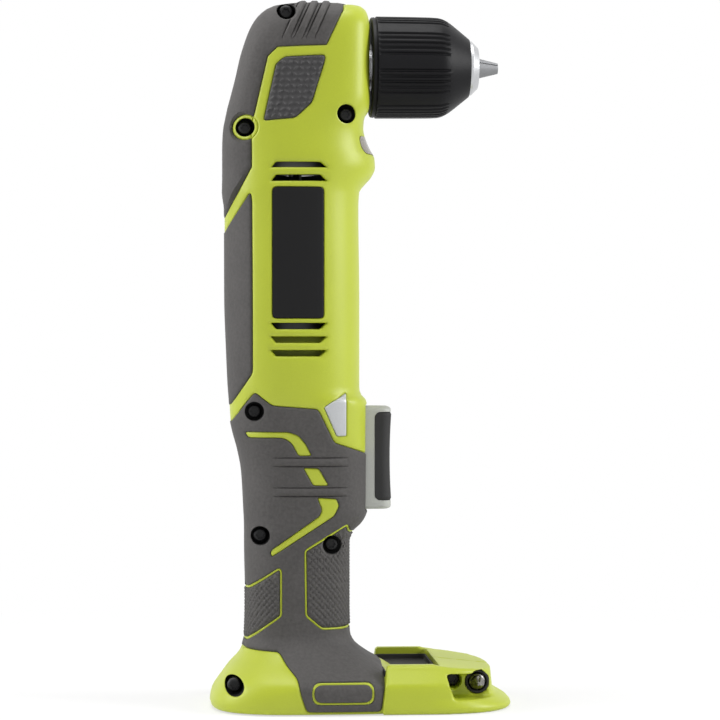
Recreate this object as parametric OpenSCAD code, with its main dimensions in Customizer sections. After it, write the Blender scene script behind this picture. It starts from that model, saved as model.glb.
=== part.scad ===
// Cordless right-angle drill, bare tool without its battery.
// Two moulded housing halves carry a motor, a planetary stage and a bevel pair, and the spindle leaves
// the head at a right angle into a keyless chuck. The handle ends in a foot that takes a battery from below.
// Frame: +X towards the chuck, +Y across the tool, +Z up.
// The origin is on the floor, under the middle of the foot.

/* [Body] */
// Height of the tool, from the floor to the top of the head
tool_h = 293; // [288:1:302]
// Depth of the motor barrel, from its back to its front
barrel_d = 56; // [55:0.5:60]
// Width of the motor barrel
barrel_w = 53; // [52:0.5:58]
// Distance of the motor axis behind the middle of the foot
barrel_back = 28.5; // [27:0.5:30]
// Thickness of the housing wall
wall = 2.6; // [2.3:0.1:2.8]
// Thickness of the soft overmoulded pads
pad_t = 1.4; // [1:0.1:1.6]
// Height that the pads stand proud of the housing
pad_proud = 0.3; // [0.1:0.1:0.6]
// Width of the groove round each pad
pad_gap = 0.3; // [0.2:0.1:0.5]
// Thickness of the bare plates let into the barrel's sides
plate_t = 0.8; // [0.6:0.1:1]

/* [Foot] */
// Length of the foot
foot_l = 126; // [124:1:134]
// Width of the foot
foot_w = 80; // [76:1:84]
// Height of the foot at its sides
foot_h = 19; // [18:0.5:22]
// Thickness of the foot's walls
foot_wall = 3; // [2.5:0.1:3.5]
// Depth of the recess under the foot
recess_h = 9.5; // [8:0.5:11]
// Depth of the tray in the front of the foot
tray_h = 5; // [3:0.5:5.5]

/* [Motor] */
// Radius of the motor can
motor_r = 18.5; // [17.5:0.1:18.8]
// Length of the motor can
motor_l = 56; // [50:1:60]
// Thickness of the can's wall
can_t = 1.5; // [1:0.1:2]
// Thickness of the magnets
magnet_t = 3.4; // [3:0.1:3.8]
// Radius of the armature's stack
armature_r = 12.6; // [11.5:0.1:13]
// Length of the armature's stack
armature_l = 28; // [24:1:32]
// Radius of the motor shaft
shaft_r = 1.6; // [1.4:0.1:1.8]
// Radius of the cooling fan
fan_r = 17; // [15:0.5:18]
// Height of the cooling fan
fan_h = 7; // [5:0.5:8]

/* [Gearing] */
// Module of the planetary gears
gear_m = 0.6; // [0.58:0.01:0.61]
// Teeth on the motor's sun gear
sun_teeth = 12; // [12:3:12]
// Teeth on each planet gear
planet_teeth = 21; // [21:6:21]
// Width of the planetary teeth
gear_face = 6; // [5:0.5:6.5]
// Module of the bevel gears at their big end
bevel_m = 1; // [0.95:0.01:1.02]
// Teeth on the bevel pinion
pinion_teeth = 9; // [9:1:9]
// Teeth on the spindle's bevel gear
crown_teeth = 27; // [27:1:27]
// Width of the bevel teeth
bevel_face = 4.6; // [4:0.1:5]
// Tooth play at the pitch circles
backlash = 0.16; // [0.12:0.01:0.22]

/* [Spindle] */
// Distance from the top of the head down to the spindle's axis
spindle_drop = 26.6; // [26:0.1:28]
// Radius of the spindle in its bearing
spindle_r = 6; // [5.5:0.1:6.2]
// Outer radius of the spindle bearing
bearing_r = 14; // [13.9:0.1:14.2]
// Width of the spindle bearing
bearing_w = 8; // [7:0.5:9]
// Radius of the spindle's nose thread
thread_r = 4.76; // [4.5:0.02:5]
// Length of the spindle's nose thread
thread_l = 13; // [11:0.5:13.5]

/* [Chuck] */
// Gap between the head and the chuck
chuck_gap = 0.7; // [0.5:0.1:1.2]
// Largest radius of the chuck's sleeve
sleeve_r = 21.4; // [21.2:0.1:23]
// Length of the chuck's sleeve
sleeve_l = 41.7; // [41:0.1:43]
// Radius of the chuck body's nose
nose_r = 11.3; // [11:0.1:11.4]
// Distance that the nose stands out of the sleeve
nose_out = 3.7; // [3:0.1:5]
// Radius of the jaws
jaw_r = 3.6; // [3.4:0.05:3.65]
// Length of the jaws
jaw_l = 33; // [31:0.5:34]
// Slope of the jaws to the spindle's axis, in degrees
jaw_slope = 15; // [14.5:0.1:15.4]
// Distance that the closed jaws stand out of the nose
jaw_out = 8.6; // [8:0.1:9]
// Grooves in each group round the sleeve
sleeve_grooves = 5; // [3:1:6]
// Groups of grooves round the sleeve
sleeve_groups = 8; // [6:1:10]

/* [Trigger] */
// Height of the trigger
trigger_h = 43; // [40:0.5:44]
// Width of the trigger
trigger_w = 21; // [18:0.5:24]
// Distance that the trigger stands out of the grip
trigger_out = 10.2; // [9.5:0.1:12]
// Travel of the trigger
trigger_stroke = 6; // [4:0.5:6.5]
// Radius of the wire of the trigger's spring
spring_wire_r = 0.35; // [0.3:0.05:0.4]
// Radius of the trigger's spring at the middle of its wire
spring_r = 4; // [3.8:0.1:4.3]
// Turns of the trigger's spring
spring_turns = 5; // [4:1:6]
// Length of the switch block behind the trigger
switch_l = 28; // [24:0.5:29]
// Width of the switch block
switch_w = 24; // [20:0.5:26]
// Height of the switch block
switch_h = 23; // [20:0.5:24]

/* [Battery contacts] */
// Length of the terminal block in the handle
block_l = 20; // [18:0.5:20.5]
// Width of the terminal block
block_w = 24; // [20:0.5:26]
// Height of the terminal block
block_h = 11; // [9:0.5:12]
// Length of the contact blades below the block
blade_l = 16; // [12:0.5:18]

/* [Fasteners] */
// Radius of the housing screws
screw_r = 1.5; // [1.3:0.05:1.7]
// Radius of the housing screws' heads
screw_head_r = 2.9; // [2.7:0.05:3]
// Height of the housing screws' heads
screw_head_h = 2.2; // [1.8:0.1:2.6]
// Radius of the screw bosses
boss_r = 4; // [3.8:0.1:4.1]

/* [Light and bits] */
// Radius of the work light's lens
lens_r = 4.2; // [3.6:0.1:4.6]
// Distance across the flats of the stored bit
bit_af = 6.35; // [6:0.05:6.5]
// Length of the stored bit
bit_l = 64; // [56:1:66]

/* [Clearances] */
// Running clearance of shafts and slides
run_gap = 0.05; // [0.03:0.01:0.08]
// Clearance of pressed and seated pieces
seat_gap = 0.02; // [0.01:0.01:0.04]
// Clearance between pieces that pass each other
free_gap = 0.3; // [0.25:0.05:0.4]

/* [Hidden] */
$fn = 64;
housing_facets = 16;
housing_green = "yellowgreen";
pad_grey = "dimgray";
overrun = 1;
far = 60;
motor_x = -barrel_back;
spindle_z = tool_h - spindle_drop;
circle_teeth_steps = 3;
pressure = 20;

// Sections of the body from the foot to the top of the head: height, back, front and half width as shares of
// the tool's height, the barrel's depth and half of its width, then the roundness of the back and the front.
head_front_share = 0.57;
top_round_share = 0.93;
ring_points = 24;
inner_points = 16;
hollow_step = 0.02;
body_shares = [
    [0.000, -0.590, 0.700, 1.460, 3.2, 5.0],
    [0.008, -0.616, 0.720, 1.510, 3.2, 5.0],
    [0.020, -0.598, 0.720, 1.505, 3.2, 5.0],
    [0.032, -0.561, 0.715, 1.480, 3.1, 4.5],
    [0.048, -0.506, 0.700, 1.390, 2.9, 4.0],
    [0.060, -0.459, 0.655, 1.230, 2.7, 3.2],
    [0.075, -0.391, 0.536, 0.990, 2.6, 2.6],
    [0.089, -0.364, 0.455, 0.850, 2.5, 2.5],
    [0.102, -0.352, 0.427, 0.785, 2.5, 2.5],
    [0.147, -0.346, 0.420, 0.766, 2.5, 2.5],
    [0.232, -0.354, 0.420, 0.774, 2.5, 2.5],
    [0.246, -0.354, 0.448, 0.785, 2.5, 2.6],
    [0.261, -0.355, 0.523, 0.800, 2.5, 2.8],
    [0.275, -0.359, 0.554, 0.811, 2.5, 3.0],
    [0.304, -0.363, 0.555, 0.830, 2.5, 3.0],
    [0.333, -0.377, 0.555, 0.849, 2.5, 3.0],
    [0.362, -0.405, 0.555, 0.868, 2.5, 3.0],
    [0.389, -0.443, 0.554, 0.906, 2.4, 3.0],
    [0.404, -0.459, 0.554, 0.925, 2.4, 3.0],
    [0.432, -0.468, 0.554, 0.951, 2.3, 3.0],
    [0.440, -0.471, 0.518, 0.958, 2.3, 2.6],
    [0.449, -0.475, 0.502, 0.966, 2.3, 2.4],
    [0.505, -0.489, 0.502, 0.992, 2.3, 2.4],
    [0.577, -0.502, 0.502, 1.000, 2.3, 2.4],
    [0.706, -0.505, 0.495, 1.000, 2.3, 2.4],
    [0.730, -0.520, 0.502, 1.004, 2.3, 2.4],
    [0.741, -0.519, 0.545, 1.004, 2.3, 2.3],
    [0.751, -0.518, 0.591, 1.008, 2.3, 2.2],
    [0.765, -0.518, 0.621, 1.008, 2.3, 2.2],
    [0.778, -0.518, 0.616, 1.008, 2.3, 2.2],
    [0.792, -0.518, 0.577, 1.004, 2.3, 2.3],
    [0.805, -0.516, 0.548, 0.996, 2.3, 2.5],
    [0.819, -0.511, 0.530, 0.989, 2.4, 2.8],
    [0.834, -0.496, 0.534, 0.981, 2.5, 3.4],
    [0.845, -0.484, 0.566, 0.974, 2.6, 4.0],
    [0.863, -0.459, head_front_share, 0.966, 2.7, 4.5],
    [0.891, -0.421, head_front_share, 0.955, 2.8, 4.5],
    [0.922, -0.384, head_front_share, 0.943, 2.8, 4.5],
    [0.949, -0.339, head_front_share, 0.921, 2.8, 4.5],
    [0.964, -0.307, head_front_share, 0.891, 2.8, 4.5],
    [0.978, -0.264, 0.563, 0.838, 2.8, 4.0],
    [0.990, -0.205, 0.541, 0.736, 2.8, 3.5],
    [0.997, -0.143, 0.500, 0.623, 2.8, 3.0],
    [1.000, -0.080, 0.438, 0.490, 2.8, 2.8]];
// Sections of the foot's front, whose back is inside the flare of the body: height as a share of its height,
// then back, front and half width as shares of half of its length and width, and the roundness of the back
// and the front.
foot_shares = [
    [0.00, -0.30, 0.985, 0.930, 5.0, 2.8],
    [0.12, -0.30, 1.000, 0.965, 5.0, 2.8],
    [0.30, -0.30, 0.930, 0.965, 5.0, 3.0],
    [0.50, -0.30, 0.880, 0.955, 5.0, 3.2],
    [0.75, -0.30, 0.865, 0.930, 5.0, 3.2],
    [0.93, -0.30, 0.840, 0.900, 5.0, 3.2],
    [1.00, -0.30, 0.800, 0.865, 5.0, 3.2]];
// Outlines on the side of the body: shares of the barrel's depth from the motor axis, and of the tool's height.
bumper_shares = [[0.37, 1.02], [0.362, 0.983], [0.234, 0.931], [-0.126, 0.928], [-0.198, 0.915],
    [-0.301, 0.830], [-0.316, 0.800], [-0.316, 0.760], [-0.495, 0.697], [-0.60, 0.660], [-0.60, 1.02]];
head_pad_shares = [[-0.077, 0.914], [0.221, 0.917], [0.226, 0.911], [0.128, 0.850], [0.005, 0.828],
    [-0.231, 0.824], [-0.138, 0.904]];
spine_shares = [[-0.326, 0.725], [-0.314, 0.715], [-0.310, 0.588], [-0.308, 0.472], [-0.455, 0.430],
    [-0.60, 0.388], [-0.60, 0.637], [-0.488, 0.678]];
grip_shares = [[-0.294, 0.445], [-0.163, 0.426], [0.174, 0.421], [0.295, 0.374], [0.506, 0.361], [0.70, 0.345],
    [0.70, 0.090], [0.631, 0.070], [0.670, 0.064], [0.623, 0.013], [0.095, 0.013], [0.034, 0.044],
    [-0.014, 0.065], [-0.138, 0.089], [-0.373, 0.095], [-0.70, 0.098], [-0.70, 0.335], [-0.462, 0.403]];
stripe_1_shares = [[-0.360, 0.389], [-0.042, 0.389], [0.030, 0.384], [0.080, 0.373], [0.127, 0.356],
    [0.030, 0.356], [-0.018, 0.373], [-0.060, 0.379], [-0.102, 0.381], [-0.337, 0.381]];
stripe_2_shares = [[0.066, 0.339], [0.180, 0.338], [0.253, 0.314], [0.139, 0.314]];
stripe_3_shares = [[0.169, 0.297], [0.313, 0.295], [0.332, 0.285], [0.295, 0.271], [-0.163, 0.214],
    [-0.174, 0.219], [-0.163, 0.224], [0.187, 0.271], [0.205, 0.280]];
plate_shares = [[-0.165, 0.732], [0.198, 0.732], [0.198, 0.548], [-0.165, 0.548]];
selector_shares = [[0.385, 0.445], [0.216, 0.424], [0.312, 0.383], [0.385, 0.383]];
// Cooling slots: short edge and long edge as shares of the barrel's depth, and the heights of both edges.
slot_short_shares = [-0.142, 0.193];
slot_long_shares = [-0.18, 0.244];
slot_height_shares = [[0.767, 0.759], [0.749, 0.740], [0.533, 0.542], [0.514, 0.523], [0.495, 0.504]];
// Places of the housing screws, in the same shares, and of the foot screws, in shares of the foot.
screw_shares = [[-0.056, 0.980], [-0.358, 0.816], [0.381, 0.835], [-0.289, 0.418], [-0.244, 0.243],
    [0.281, 0.230], [-0.439, 0.037]];
foot_screw_share = [0.587, 0.63];
// The bit's place in the foot, its side notches and the tray, in shares of half of the foot's length and
// of its height.
bit_place_shares = [0.741, 0.60];
notch_shares = [[0.47, 0.96], [0.97, 0.80], [0.97, 0.42], [0.87, 0.32], [0.52, 0.27]];
nose_slope_shares = [[0.46, 1.05], [1.05, 1.05], [1.05, 0.62], [0.88, 0.72], [0.46, 1.0]];
tray_shares = [0.12, 0.44];
notch_depth = 16;
notch_wall_y = foot_w / 2 - notch_depth;
tray_w = 56;
recess_front_share = 0.5;

// Small sizes of the housing
vent_wall = 7;
screw_recess = 4;
screw_engage = 8;
screw_play = 0.15;
saddle_t = 3;
saddle_bite = 1;
saddle_reach_share = 0.12;
motor_saddle_shares = [0.16, 0.86];
case_saddle_z = 4;
block_saddle_share = 0.45;
spindle_hole_r = 9.6;
trigger_lip = 1.6;
trigger_lip_t = 2;

// Heights of the gear stack, from the spindle down to the motor
pinion_r = bevel_m * pinion_teeth / 2;
crown_r = bevel_m * crown_teeth / 2;
pinion_cone = atan(pinion_teeth / crown_teeth);
crown_cone = 90 - pinion_cone;
pinion_tooth_shares = [1.1, 1.0];
crown_tooth_shares = [0.6, 1.35];
bevel_cone = norm([pinion_r, crown_r]);
bevel_small_share = 1 - bevel_face / bevel_cone;
pinion_root = crown_r + pinion_tooth_shares[1] * bevel_m * sin(pinion_cone);
crown_root = pinion_r + crown_tooth_shares[1] * bevel_m * sin(crown_cone);
case_head_t = 2.5;
case_head_r = bearing_r + case_head_t;
case_head_wall = 2;
case_boss_wall = 2.2;
case_flange_w = 4.6;
case_flange_r = bearing_r + case_flange_w;
case_flange_t = 5;
flange_flat = 17.2;
retainer_t = 2.5;
retainer_hole_r = 9;
bearing_reach = 22.5;
bearing_front_x = motor_x + bearing_reach;
bearing_rear_x = bearing_front_x - bearing_w;
race_t = 2.6;
ball_r = 2.1;
ball_count = 8;
ball_gap = 0.12;
rear_journal_r = 4;
rear_bush_t = 2.5;
rear_bush_l = 5;
case_rear_reach = 16.5;
case_rear_x = motor_x - case_rear_reach;
case_boss_r = rear_journal_r + rear_bush_t + case_boss_wall;
cavity_rear_reach = 7.5;
case_cavity_rear_x = motor_x - cavity_rear_reach;
bush_t = 3;
pinion_shaft_r = 4;
pinion_bush_h = 5;
pinion_bush_drop = 14.5;
pinion_bush_z = spindle_z - crown_r - pinion_bush_drop;
pinion_tail_r = 3;
pinion_stub_r = 1.6;
carrier_t = 3.2;
carrier_r = 12.8;
carrier_drop = 2.4;
carrier_z = pinion_bush_z - carrier_t - carrier_drop;
planet_z = carrier_z - gear_face - free_gap * 2;
planet_pin_r = 2;
ring_teeth = sun_teeth + 2 * planet_teeth;
orbit_r = gear_m * (sun_teeth + planet_teeth) / 2;
ring_rim = 1.7;
ring_r = gear_m * ring_teeth / 2 + gear_m + ring_rim;
ring_z = planet_z - free_gap;
ring_h = gear_face + 2 * free_gap;
case_wall = 2;
case_r = ring_r + seat_gap + case_wall;
case_neck_r = 15.4;
case_roof = 2;
plate_h = 3.6;
plate_hole_r = 5;
plate_z = ring_z - plate_h;
sun_tooth_shares = [1.1, 0.95];
planet_tooth_shares = [0.8, 1.3];
ring_tooth_shares = [1.05, 0.75];

// Small sizes of the motor
fan_plate_t = 1.2;
fan_hub_r = 3.6;
fan_blades = 9;
fan_blade_t = 1;
fan_gap = 2;
fan_z = plate_z - fan_h - fan_gap;
motor_gap = 3;
motor_top = fan_z - motor_gap;
motor_z = motor_top - motor_l;
front_bush_r = 5;
motor_bush_h = 4;
end_cap_h = 4;
brush_h = 4;
brush_w = 4;
brush_l = 6.5;
commutator_r = 4.5;
commutator_h = 7;
commutator_gap = 0.4;
commutator_z = motor_z + end_cap_h + commutator_gap;
armature_lift = 15.6;
armature_z = motor_z + armature_lift;
armature_slots = 5;
armature_slot_w = 2;
armature_slot_depth = 6.5;
winding_h = 4;
winding_r = 10;
winding_in_r = 4;
magnet_over = 4;
magnet_l = armature_l + 2 * magnet_over;
magnet_arc = 140;

// Small sizes of the chuck, along its axis from the back of its sleeve
chuck_x = motor_x + head_front_share * barrel_d + chuck_gap;
chuck_seat = 0.4;
shoulder_r = 8;
hub_r = 9.8;
hub_l = 12;
thread_gap = 0.05;
web_l = 1.2;
chamber_r = 4.6;
chuck_screw_r = 2.5;
chuck_screw_head_r = 4;
chuck_screw_head_h = 3.2;
cap_t = 1.3;
sleeve_wall = 2;
sleeve_taper = 0.8;
sleeve_edge = 0.9;
sleeve_mouth_share = 0.59;
cone_start_share = 0.76;
sleeve_cone_r = 19;
cone_knee_share = 0.83;
groove_r = 0.75;
groove_pitch = 6.4;
groove_start = 4;
groove_depth = 0.45;
nose_chamfer = 2.6;
nut_share = 0.53;
nut_l = 6;
nut_r = 17.4;
jaw_tip = sleeve_l + nose_out + jaw_out;
jaw_cross_lead = 2.8;
jaw_cross = jaw_tip + jaw_cross_lead;
jaw_gap = 0.22;
jaw_tip_r = 2.2;
jaw_root_r = 4.3;
jaw_play = 0.2;
jaw_count = 3;

// Small sizes of the trigger, its switch and the selector
grip_front_share = 0.555;
grip_front_x = motor_x + grip_front_share * barrel_d;
trigger_mid_share = 0.3515;
trigger_z = trigger_mid_share * tool_h;
trigger_inset = 2.4;
trigger_back_x = grip_front_x - wall - trigger_inset;
trigger_edge = 2;
trigger_front_x = grip_front_x + trigger_out;
trigger_pad_in = 6.6;
trigger_pad_h_share = 0.85;
finger_r = 150;
finger_sag = 0.9;
finger_facets = 480;
plunger_r = 2.5;
plunger_l = 12;
spring_pocket_r = 5.2;
spring_pocket_l = 6;
switch_gap = 0.6;
switch_front_x = trigger_back_x - trigger_stroke - switch_gap;
switch_share = 0.327;
switch_z = switch_share * tool_h;
spring_gap = 0.15;
selector_t = 4;
selector_bar_d = 3.2;
selector_bar_h = 6;
selector_bar_shares = [0.315, 0.406];
selector_bar_x = at(selector_bar_shares)[0];
selector_bar_z = at(selector_bar_shares)[1];
selector_prong_d = 4;
selector_proud = 0.2;

// Small sizes of the terminal block
block_lead = 1;
block_x = motor_x + block_lead;
block_share = 0.218;
block_z = block_share * tool_h;
blade_count = 3;
blade_d = 8;
blade_t = 0.8;
blade_pitch = 8;

// Small sizes of the work light and the stored bit
lens_t = 2.4;
lens_lean = 52;
lens_shares = [0.533, 0.7985];
lens_x = at(lens_shares)[0];
lens_z = at(lens_shares)[1];
lens_lip = 0.8;
led_r = 2.5;
led_board_t = 1.2;
led_h = 1.6;
bit_neck_r = 2.6;
bit_neck_l = 4;
bit_tip_r = 0.8;
bit_tip_l = 4;
bit_shoulder = 1;
grommet_t = 1.2;
grommet_l = 4;
bit_r = bit_af / 2 / cos(30);

// Routes of the leads inside the housing: shares of the barrel's depth from the motor axis, and of the
// tool's height.
lead_r = 1.1;
lead_sides = 8;
battery_lead_shares = [[-0.098, 0.2377], [-0.105, 0.246], [-0.116, 0.256], [-0.12, 0.266], [-0.116, 0.276],
    [-0.109, 0.287]];
battery_lead_y = 5;
motor_lead_shares = [[-0.098, 0.3671], [-0.109, 0.382], [-0.141, 0.406], [-0.162, 0.43], [-0.166, 0.454],
    [-0.155, 0.474], [-0.138, 0.498], [-0.13, 0.5262]];
motor_lead_y = 7;
light_lead_r = 0.7;
light_lead_shares = [[0.188, 0.3665], [0.188, 0.382], [0.184, 0.403], [0.188, 0.423], [0.212, 0.444],
    [0.277, 0.468], [0.355, 0.488], [0.395, 0.512], [0.402, 0.546], [0.402, 0.597], [0.402, 0.648],
    [0.409, 0.696], [0.434, 0.73], [0.45, 0.758], [0.4518, 0.786]];
function lead_route(shares) = [for (share = shares) [at(share)[0], 0, at(share)[1]]];

// Shared shapes

function at(share) = [motor_x + share[0] * barrel_d, share[1] * tool_h];
function in_foot(share) = [share[0] * foot_l / 2, share[1] * foot_h];
function places(shares) = [for (share = shares) at(share)];
function signed_pow(base, power) = sign(base) * pow(abs(base), power);

// One closed ring of points round a section, drawn in from its outline by inset.
function ring(z, back, front, half, back_round, front_round, inset) = [
    let (points = inset > 0 ? inner_points : ring_points)
    for (k = [0 : points - 1])
        let (
            turn = 360 * k / points,
            power = 2 / (cos(turn) < 0 ? back_round : front_round),
            reach = (front - back) / 2 - inset)
        [(front + back) / 2 + reach * signed_pow(cos(turn), power),
            (half - inset) * signed_pow(sin(turn), power),
            z]];
function body_ring(row, inset) = ring(
    row[0] * tool_h - inset * max(0, (row[0] - top_round_share) / (1 - top_round_share)),
    motor_x + row[1] * barrel_d, motor_x + row[2] * barrel_d, row[3] * barrel_w / 2, row[4], row[5], inset);
function foot_ring(row, inset) = ring(
    row[0] * (foot_h - inset), row[1] * foot_l / 2, row[2] * foot_l / 2, row[3] * foot_w / 2,
    row[4], row[5], inset);

// Half width of a pile of sections at a point of its side.
function column(rows, index) = [for (row = rows) [row[0], row[index]]];
function side_half(rows, place, mid, depth, height, half) =
    let (
        share = place[1] / height,
        back = mid + lookup(share, column(rows, 1)) * depth,
        front = mid + lookup(share, column(rows, 2)) * depth,
        off = (place[0] - (front + back) / 2) / ((front - back) / 2),
        power = lookup(share, column(rows, off < 0 ? 4 : 5)))
    lookup(share, column(rows, 3)) * half * pow(max(0, 1 - pow(abs(off), power)), 1 / power);
function body_half(place) = side_half(body_shares, place, motor_x, barrel_d, tool_h, barrel_w / 2);

// A closed skin over a pile of rings with the same number of points.
module skin(rings) {
    n = len(rings[0]);
    last = len(rings) - 1;
    polyhedron(
        points = [for (points = rings) each points],
        faces = concat(
            [[for (k = [0 : n - 1]) k], [for (k = [n - 1 : -1 : 0]) last * n + k]],
            [for (i = [0 : last - 1], k = [0 : n - 1]) [i * n + k, (i + 1) * n + k, (i + 1) * n + (k + 1) % n]],
            [for (i = [0 : last - 1], k = [0 : n - 1])
                [i * n + k, (i + 1) * n + (k + 1) % n, i * n + (k + 1) % n]]));
}
// The body between two heights, as shares of the tool's height, drawn in by inset.
module body(inset, low = 0, high = 1) {
    skin([for (row = body_shares) if (row[0] >= low && row[0] <= high) body_ring(row, inset)]);
}
// The hollow inside the body, over the sections that stand at least one step apart.
module hollow(inset, low, high) {
    rows = [for (row = body_shares) if (row[0] >= low && row[0] <= high) row];
    skin([for (i = [0 : len(rows) - 1])
        if (i == 0 || i == len(rows) - 1 || i % 2 == 0 || rows[i][0] - rows[i - 1][0] > hollow_step)
            i == 0 ? dropped(body_ring(rows[i], inset)) : body_ring(rows[i], inset)]);
}
// A ring lowered through the floor, so that a hollow is open below.
function dropped(points) = [for (p = points) [p[0], p[1], -overrun]];
module foot(inset) {
    skin([for (row = foot_shares) foot_ring(row, inset)]);
}
// A prism of a side outline, from the middle plane out to one side.
module side_prism(points, grow = 0, from = 0) {
    rotate([90, 0, 0])
        translate([0, 0, from])
            linear_extrude(far)
                offset(delta = grow)
                    polygon(points);
}
module across(r, from, to) {
    translate([0, from, 0])
        rotate([-90, 0, 0])
            cylinder(r = r, h = to - from);
}
module along(r, from, to) {
    translate([from, 0, 0])
        rotate([0, 90, 0])
            cylinder(r = r, h = to - from);
}
module upright(r, from, to) {
    translate([0, 0, from])
        cylinder(r = r, h = to - from);
}
module block(low, high) {
    translate(low)
        cube(high - low);
}
module other_side() {
    mirror([0, 1, 0])
        children();
}
module both_sides() {
    children();
    other_side()
        children();
}
module at_motor() {
    translate([motor_x, 0, 0])
        children();
}
module at_spindle() {
    translate([0, 0, spindle_z])
        children();
}
module at_chuck() {
    translate([chuck_x, 0, spindle_z])
        children();
}
// A body of revolution about the chuck's axis, from points along and off it.
module turned(points) {
    rotate([90, 0, 90])
        rotate_extrude()
            polygon([for (p = points) [p[1], p[0]]]);
}
module rounded_rect(size, r) {
    for (x = [r, size[0] - r], y = [r, size[1] - r])
        translate([x, y])
            circle(r);
    translate([r, 0])
        square([size[0] - 2 * r, size[1]]);
    translate([0, r])
        square([size[0], size[1] - 2 * r]);
}
// A tube of radius r along a route, with its rings set square to a fixed side direction.
function direction(route, i) =
    let (step = route[min(i + 1, len(route) - 1)] - route[max(i - 1, 0)])
    step / norm(step);
module tube(route, r, sides, across_way) {
    skin([for (i = [0 : len(route) - 1])
        let (
            ahead = direction(route, i),
            side = cross(across_way, ahead) / norm(cross(across_way, ahead)),
            up = cross(ahead, side))
        [for (k = [0 : sides - 1])
            route[i] + r * (cos(360 * k / sides) * side + sin(360 * k / sides) * up)]]);
}

// Gear teeth

function involute(angle) = tan(angle) * 180 / PI - angle;
// Half the angle of a tooth at a radius, for a gear of that pitch radius and half angle at the pitch circle.
function tooth_half(radius, pitch_r, pitch_half) =
    let (base = pitch_r * cos(pressure))
    pitch_half + involute(pressure) - (radius > base ? involute(acos(base / radius)) : 0);
// One tooth as radius and angle pairs, from its root on one side to its root on the other.
function tooth(pitch_r, root, tip, pitch_half) =
    let (
        low = max(root, pitch_r * cos(pressure)),
        up = [for (k = [0 : circle_teeth_steps]) low + (tip - low) * k / circle_teeth_steps],
        side = concat(root < low ? [root] : [], up))
    concat(
        [for (radius = side) [radius, -tooth_half(radius, pitch_r, pitch_half)]],
        [for (k = [len(side) - 1 : -1 : 0]) [side[k], tooth_half(side[k], pitch_r, pitch_half)]]);
// The outline of a spur gear. A negative play gives the space of an internal gear.
function spur(teeth, shares, play) =
    let (
        pitch_r = gear_m * teeth / 2,
        half = 90 / teeth - play / pitch_r / 4 * 180 / PI,
        one = tooth(pitch_r, pitch_r - shares[1] * gear_m, pitch_r + shares[0] * gear_m, half))
    [for (i = [0 : teeth - 1], p = one)
        p[0] * [cos(p[1] + 360 * i / teeth), sin(p[1] + 360 * i / teeth)]];
// A straight bevel gear with its apex at the origin and its big end up, drawn on its back cone.
module bevel(teeth, cone, shares, root) {
    pitch_r = bevel_m * teeth / 2;
    back_r = pitch_r / cos(cone);
    back_apex = pitch_r / tan(cone) + pitch_r * tan(cone);
    half = (90 / teeth) * cos(cone) - backlash / back_r / 4 * 180 / PI;
    one = tooth(back_r, back_r - shares[1] * bevel_m, back_r + shares[0] * bevel_m, half);
    big = [for (i = [0 : teeth - 1], p = one)
        let (turn = p[1] / cos(cone) + 360 * i / teeth)
        [p[0] * cos(cone) * cos(turn), p[0] * cos(cone) * sin(turn), back_apex - p[0] * sin(cone)]];
    n = len(big);
    polyhedron(
        points = concat(bevel_small_share * big, big, [[0, 0, bevel_small_share * root], [0, 0, root]]),
        faces = concat(
            [for (k = [0 : n - 1]) [2 * n, k, (k + 1) % n]],
            [for (k = [0 : n - 1]) [2 * n + 1, n + (k + 1) % n, n + k]],
            [for (k = [0 : n - 1]) [k, n + k, n + (k + 1) % n]],
            [for (k = [0 : n - 1]) [k, n + (k + 1) % n, (k + 1) % n]]));
}

// Housing

module grip_outline(grow) {
    difference() {
        offset(delta = grow)
            polygon(places(grip_shares));
        for (shares = [stripe_1_shares, stripe_2_shares, stripe_3_shares])
            offset(delta = -grow)
                polygon(places(shares));
        offset(delta = pad_gap - grow)
            polygon(places(selector_shares));
        for (share = screw_shares)
            translate(at(share))
                circle(r = boss_r - grow);
    }
}
module pad_prism(points, grow) {
    rotate([90, 0, 0])
        translate([0, 0, grow > 0 ? 0 : seat_gap])
            linear_extrude(far)
                difference() {
                    offset(delta = grow)
                        polygon(points);
                    for (share = screw_shares)
                        translate(at(share))
                            circle(r = boss_r - grow);
                }
}
module grip_prism(grow) {
    rotate([90, 0, 0])
        translate([0, 0, grow > 0 ? 0 : seat_gap])
            linear_extrude(far)
                grip_outline(grow);
}
// The space behind each overmoulded pad, out to the side.
module pad_pocket(low, high) {
    difference() {
        children();
        body(pad_t + seat_gap, low, high);
    }
}
// The handle and the foot, which the grip wraps.
module grip_solid(inset) {
    body(inset, 0, 0.5);
    foot(inset);
}
module foot_block() {
    difference() {
        foot(0);
        rotate([90, 0, 0])
            linear_extrude(foot_w + overrun, center = true)
                polygon([for (share = nose_slope_shares) in_foot(share)]);
    }
}
module body_block() {
    body(0);
    foot_block();
}
// The hollow of the body and the recess under the foot.
module body_hollow() {
    hollow(wall, 0, 1);
    intersection() {
        skin(concat([dropped(foot_ring(foot_shares[0], foot_wall))],
            [for (i = [1 : len(foot_shares) - 1]) foot_ring(foot_shares[i], foot_wall)]));
        block([-foot_l, -foot_w, -2 * overrun], [recess_front_share * foot_l / 2, foot_w, recess_h]);
    }
}
// The radius of a faceted hole whose flats clear a round piece of radius r.
function bore(r) = r / cos(180 / housing_facets);
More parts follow.
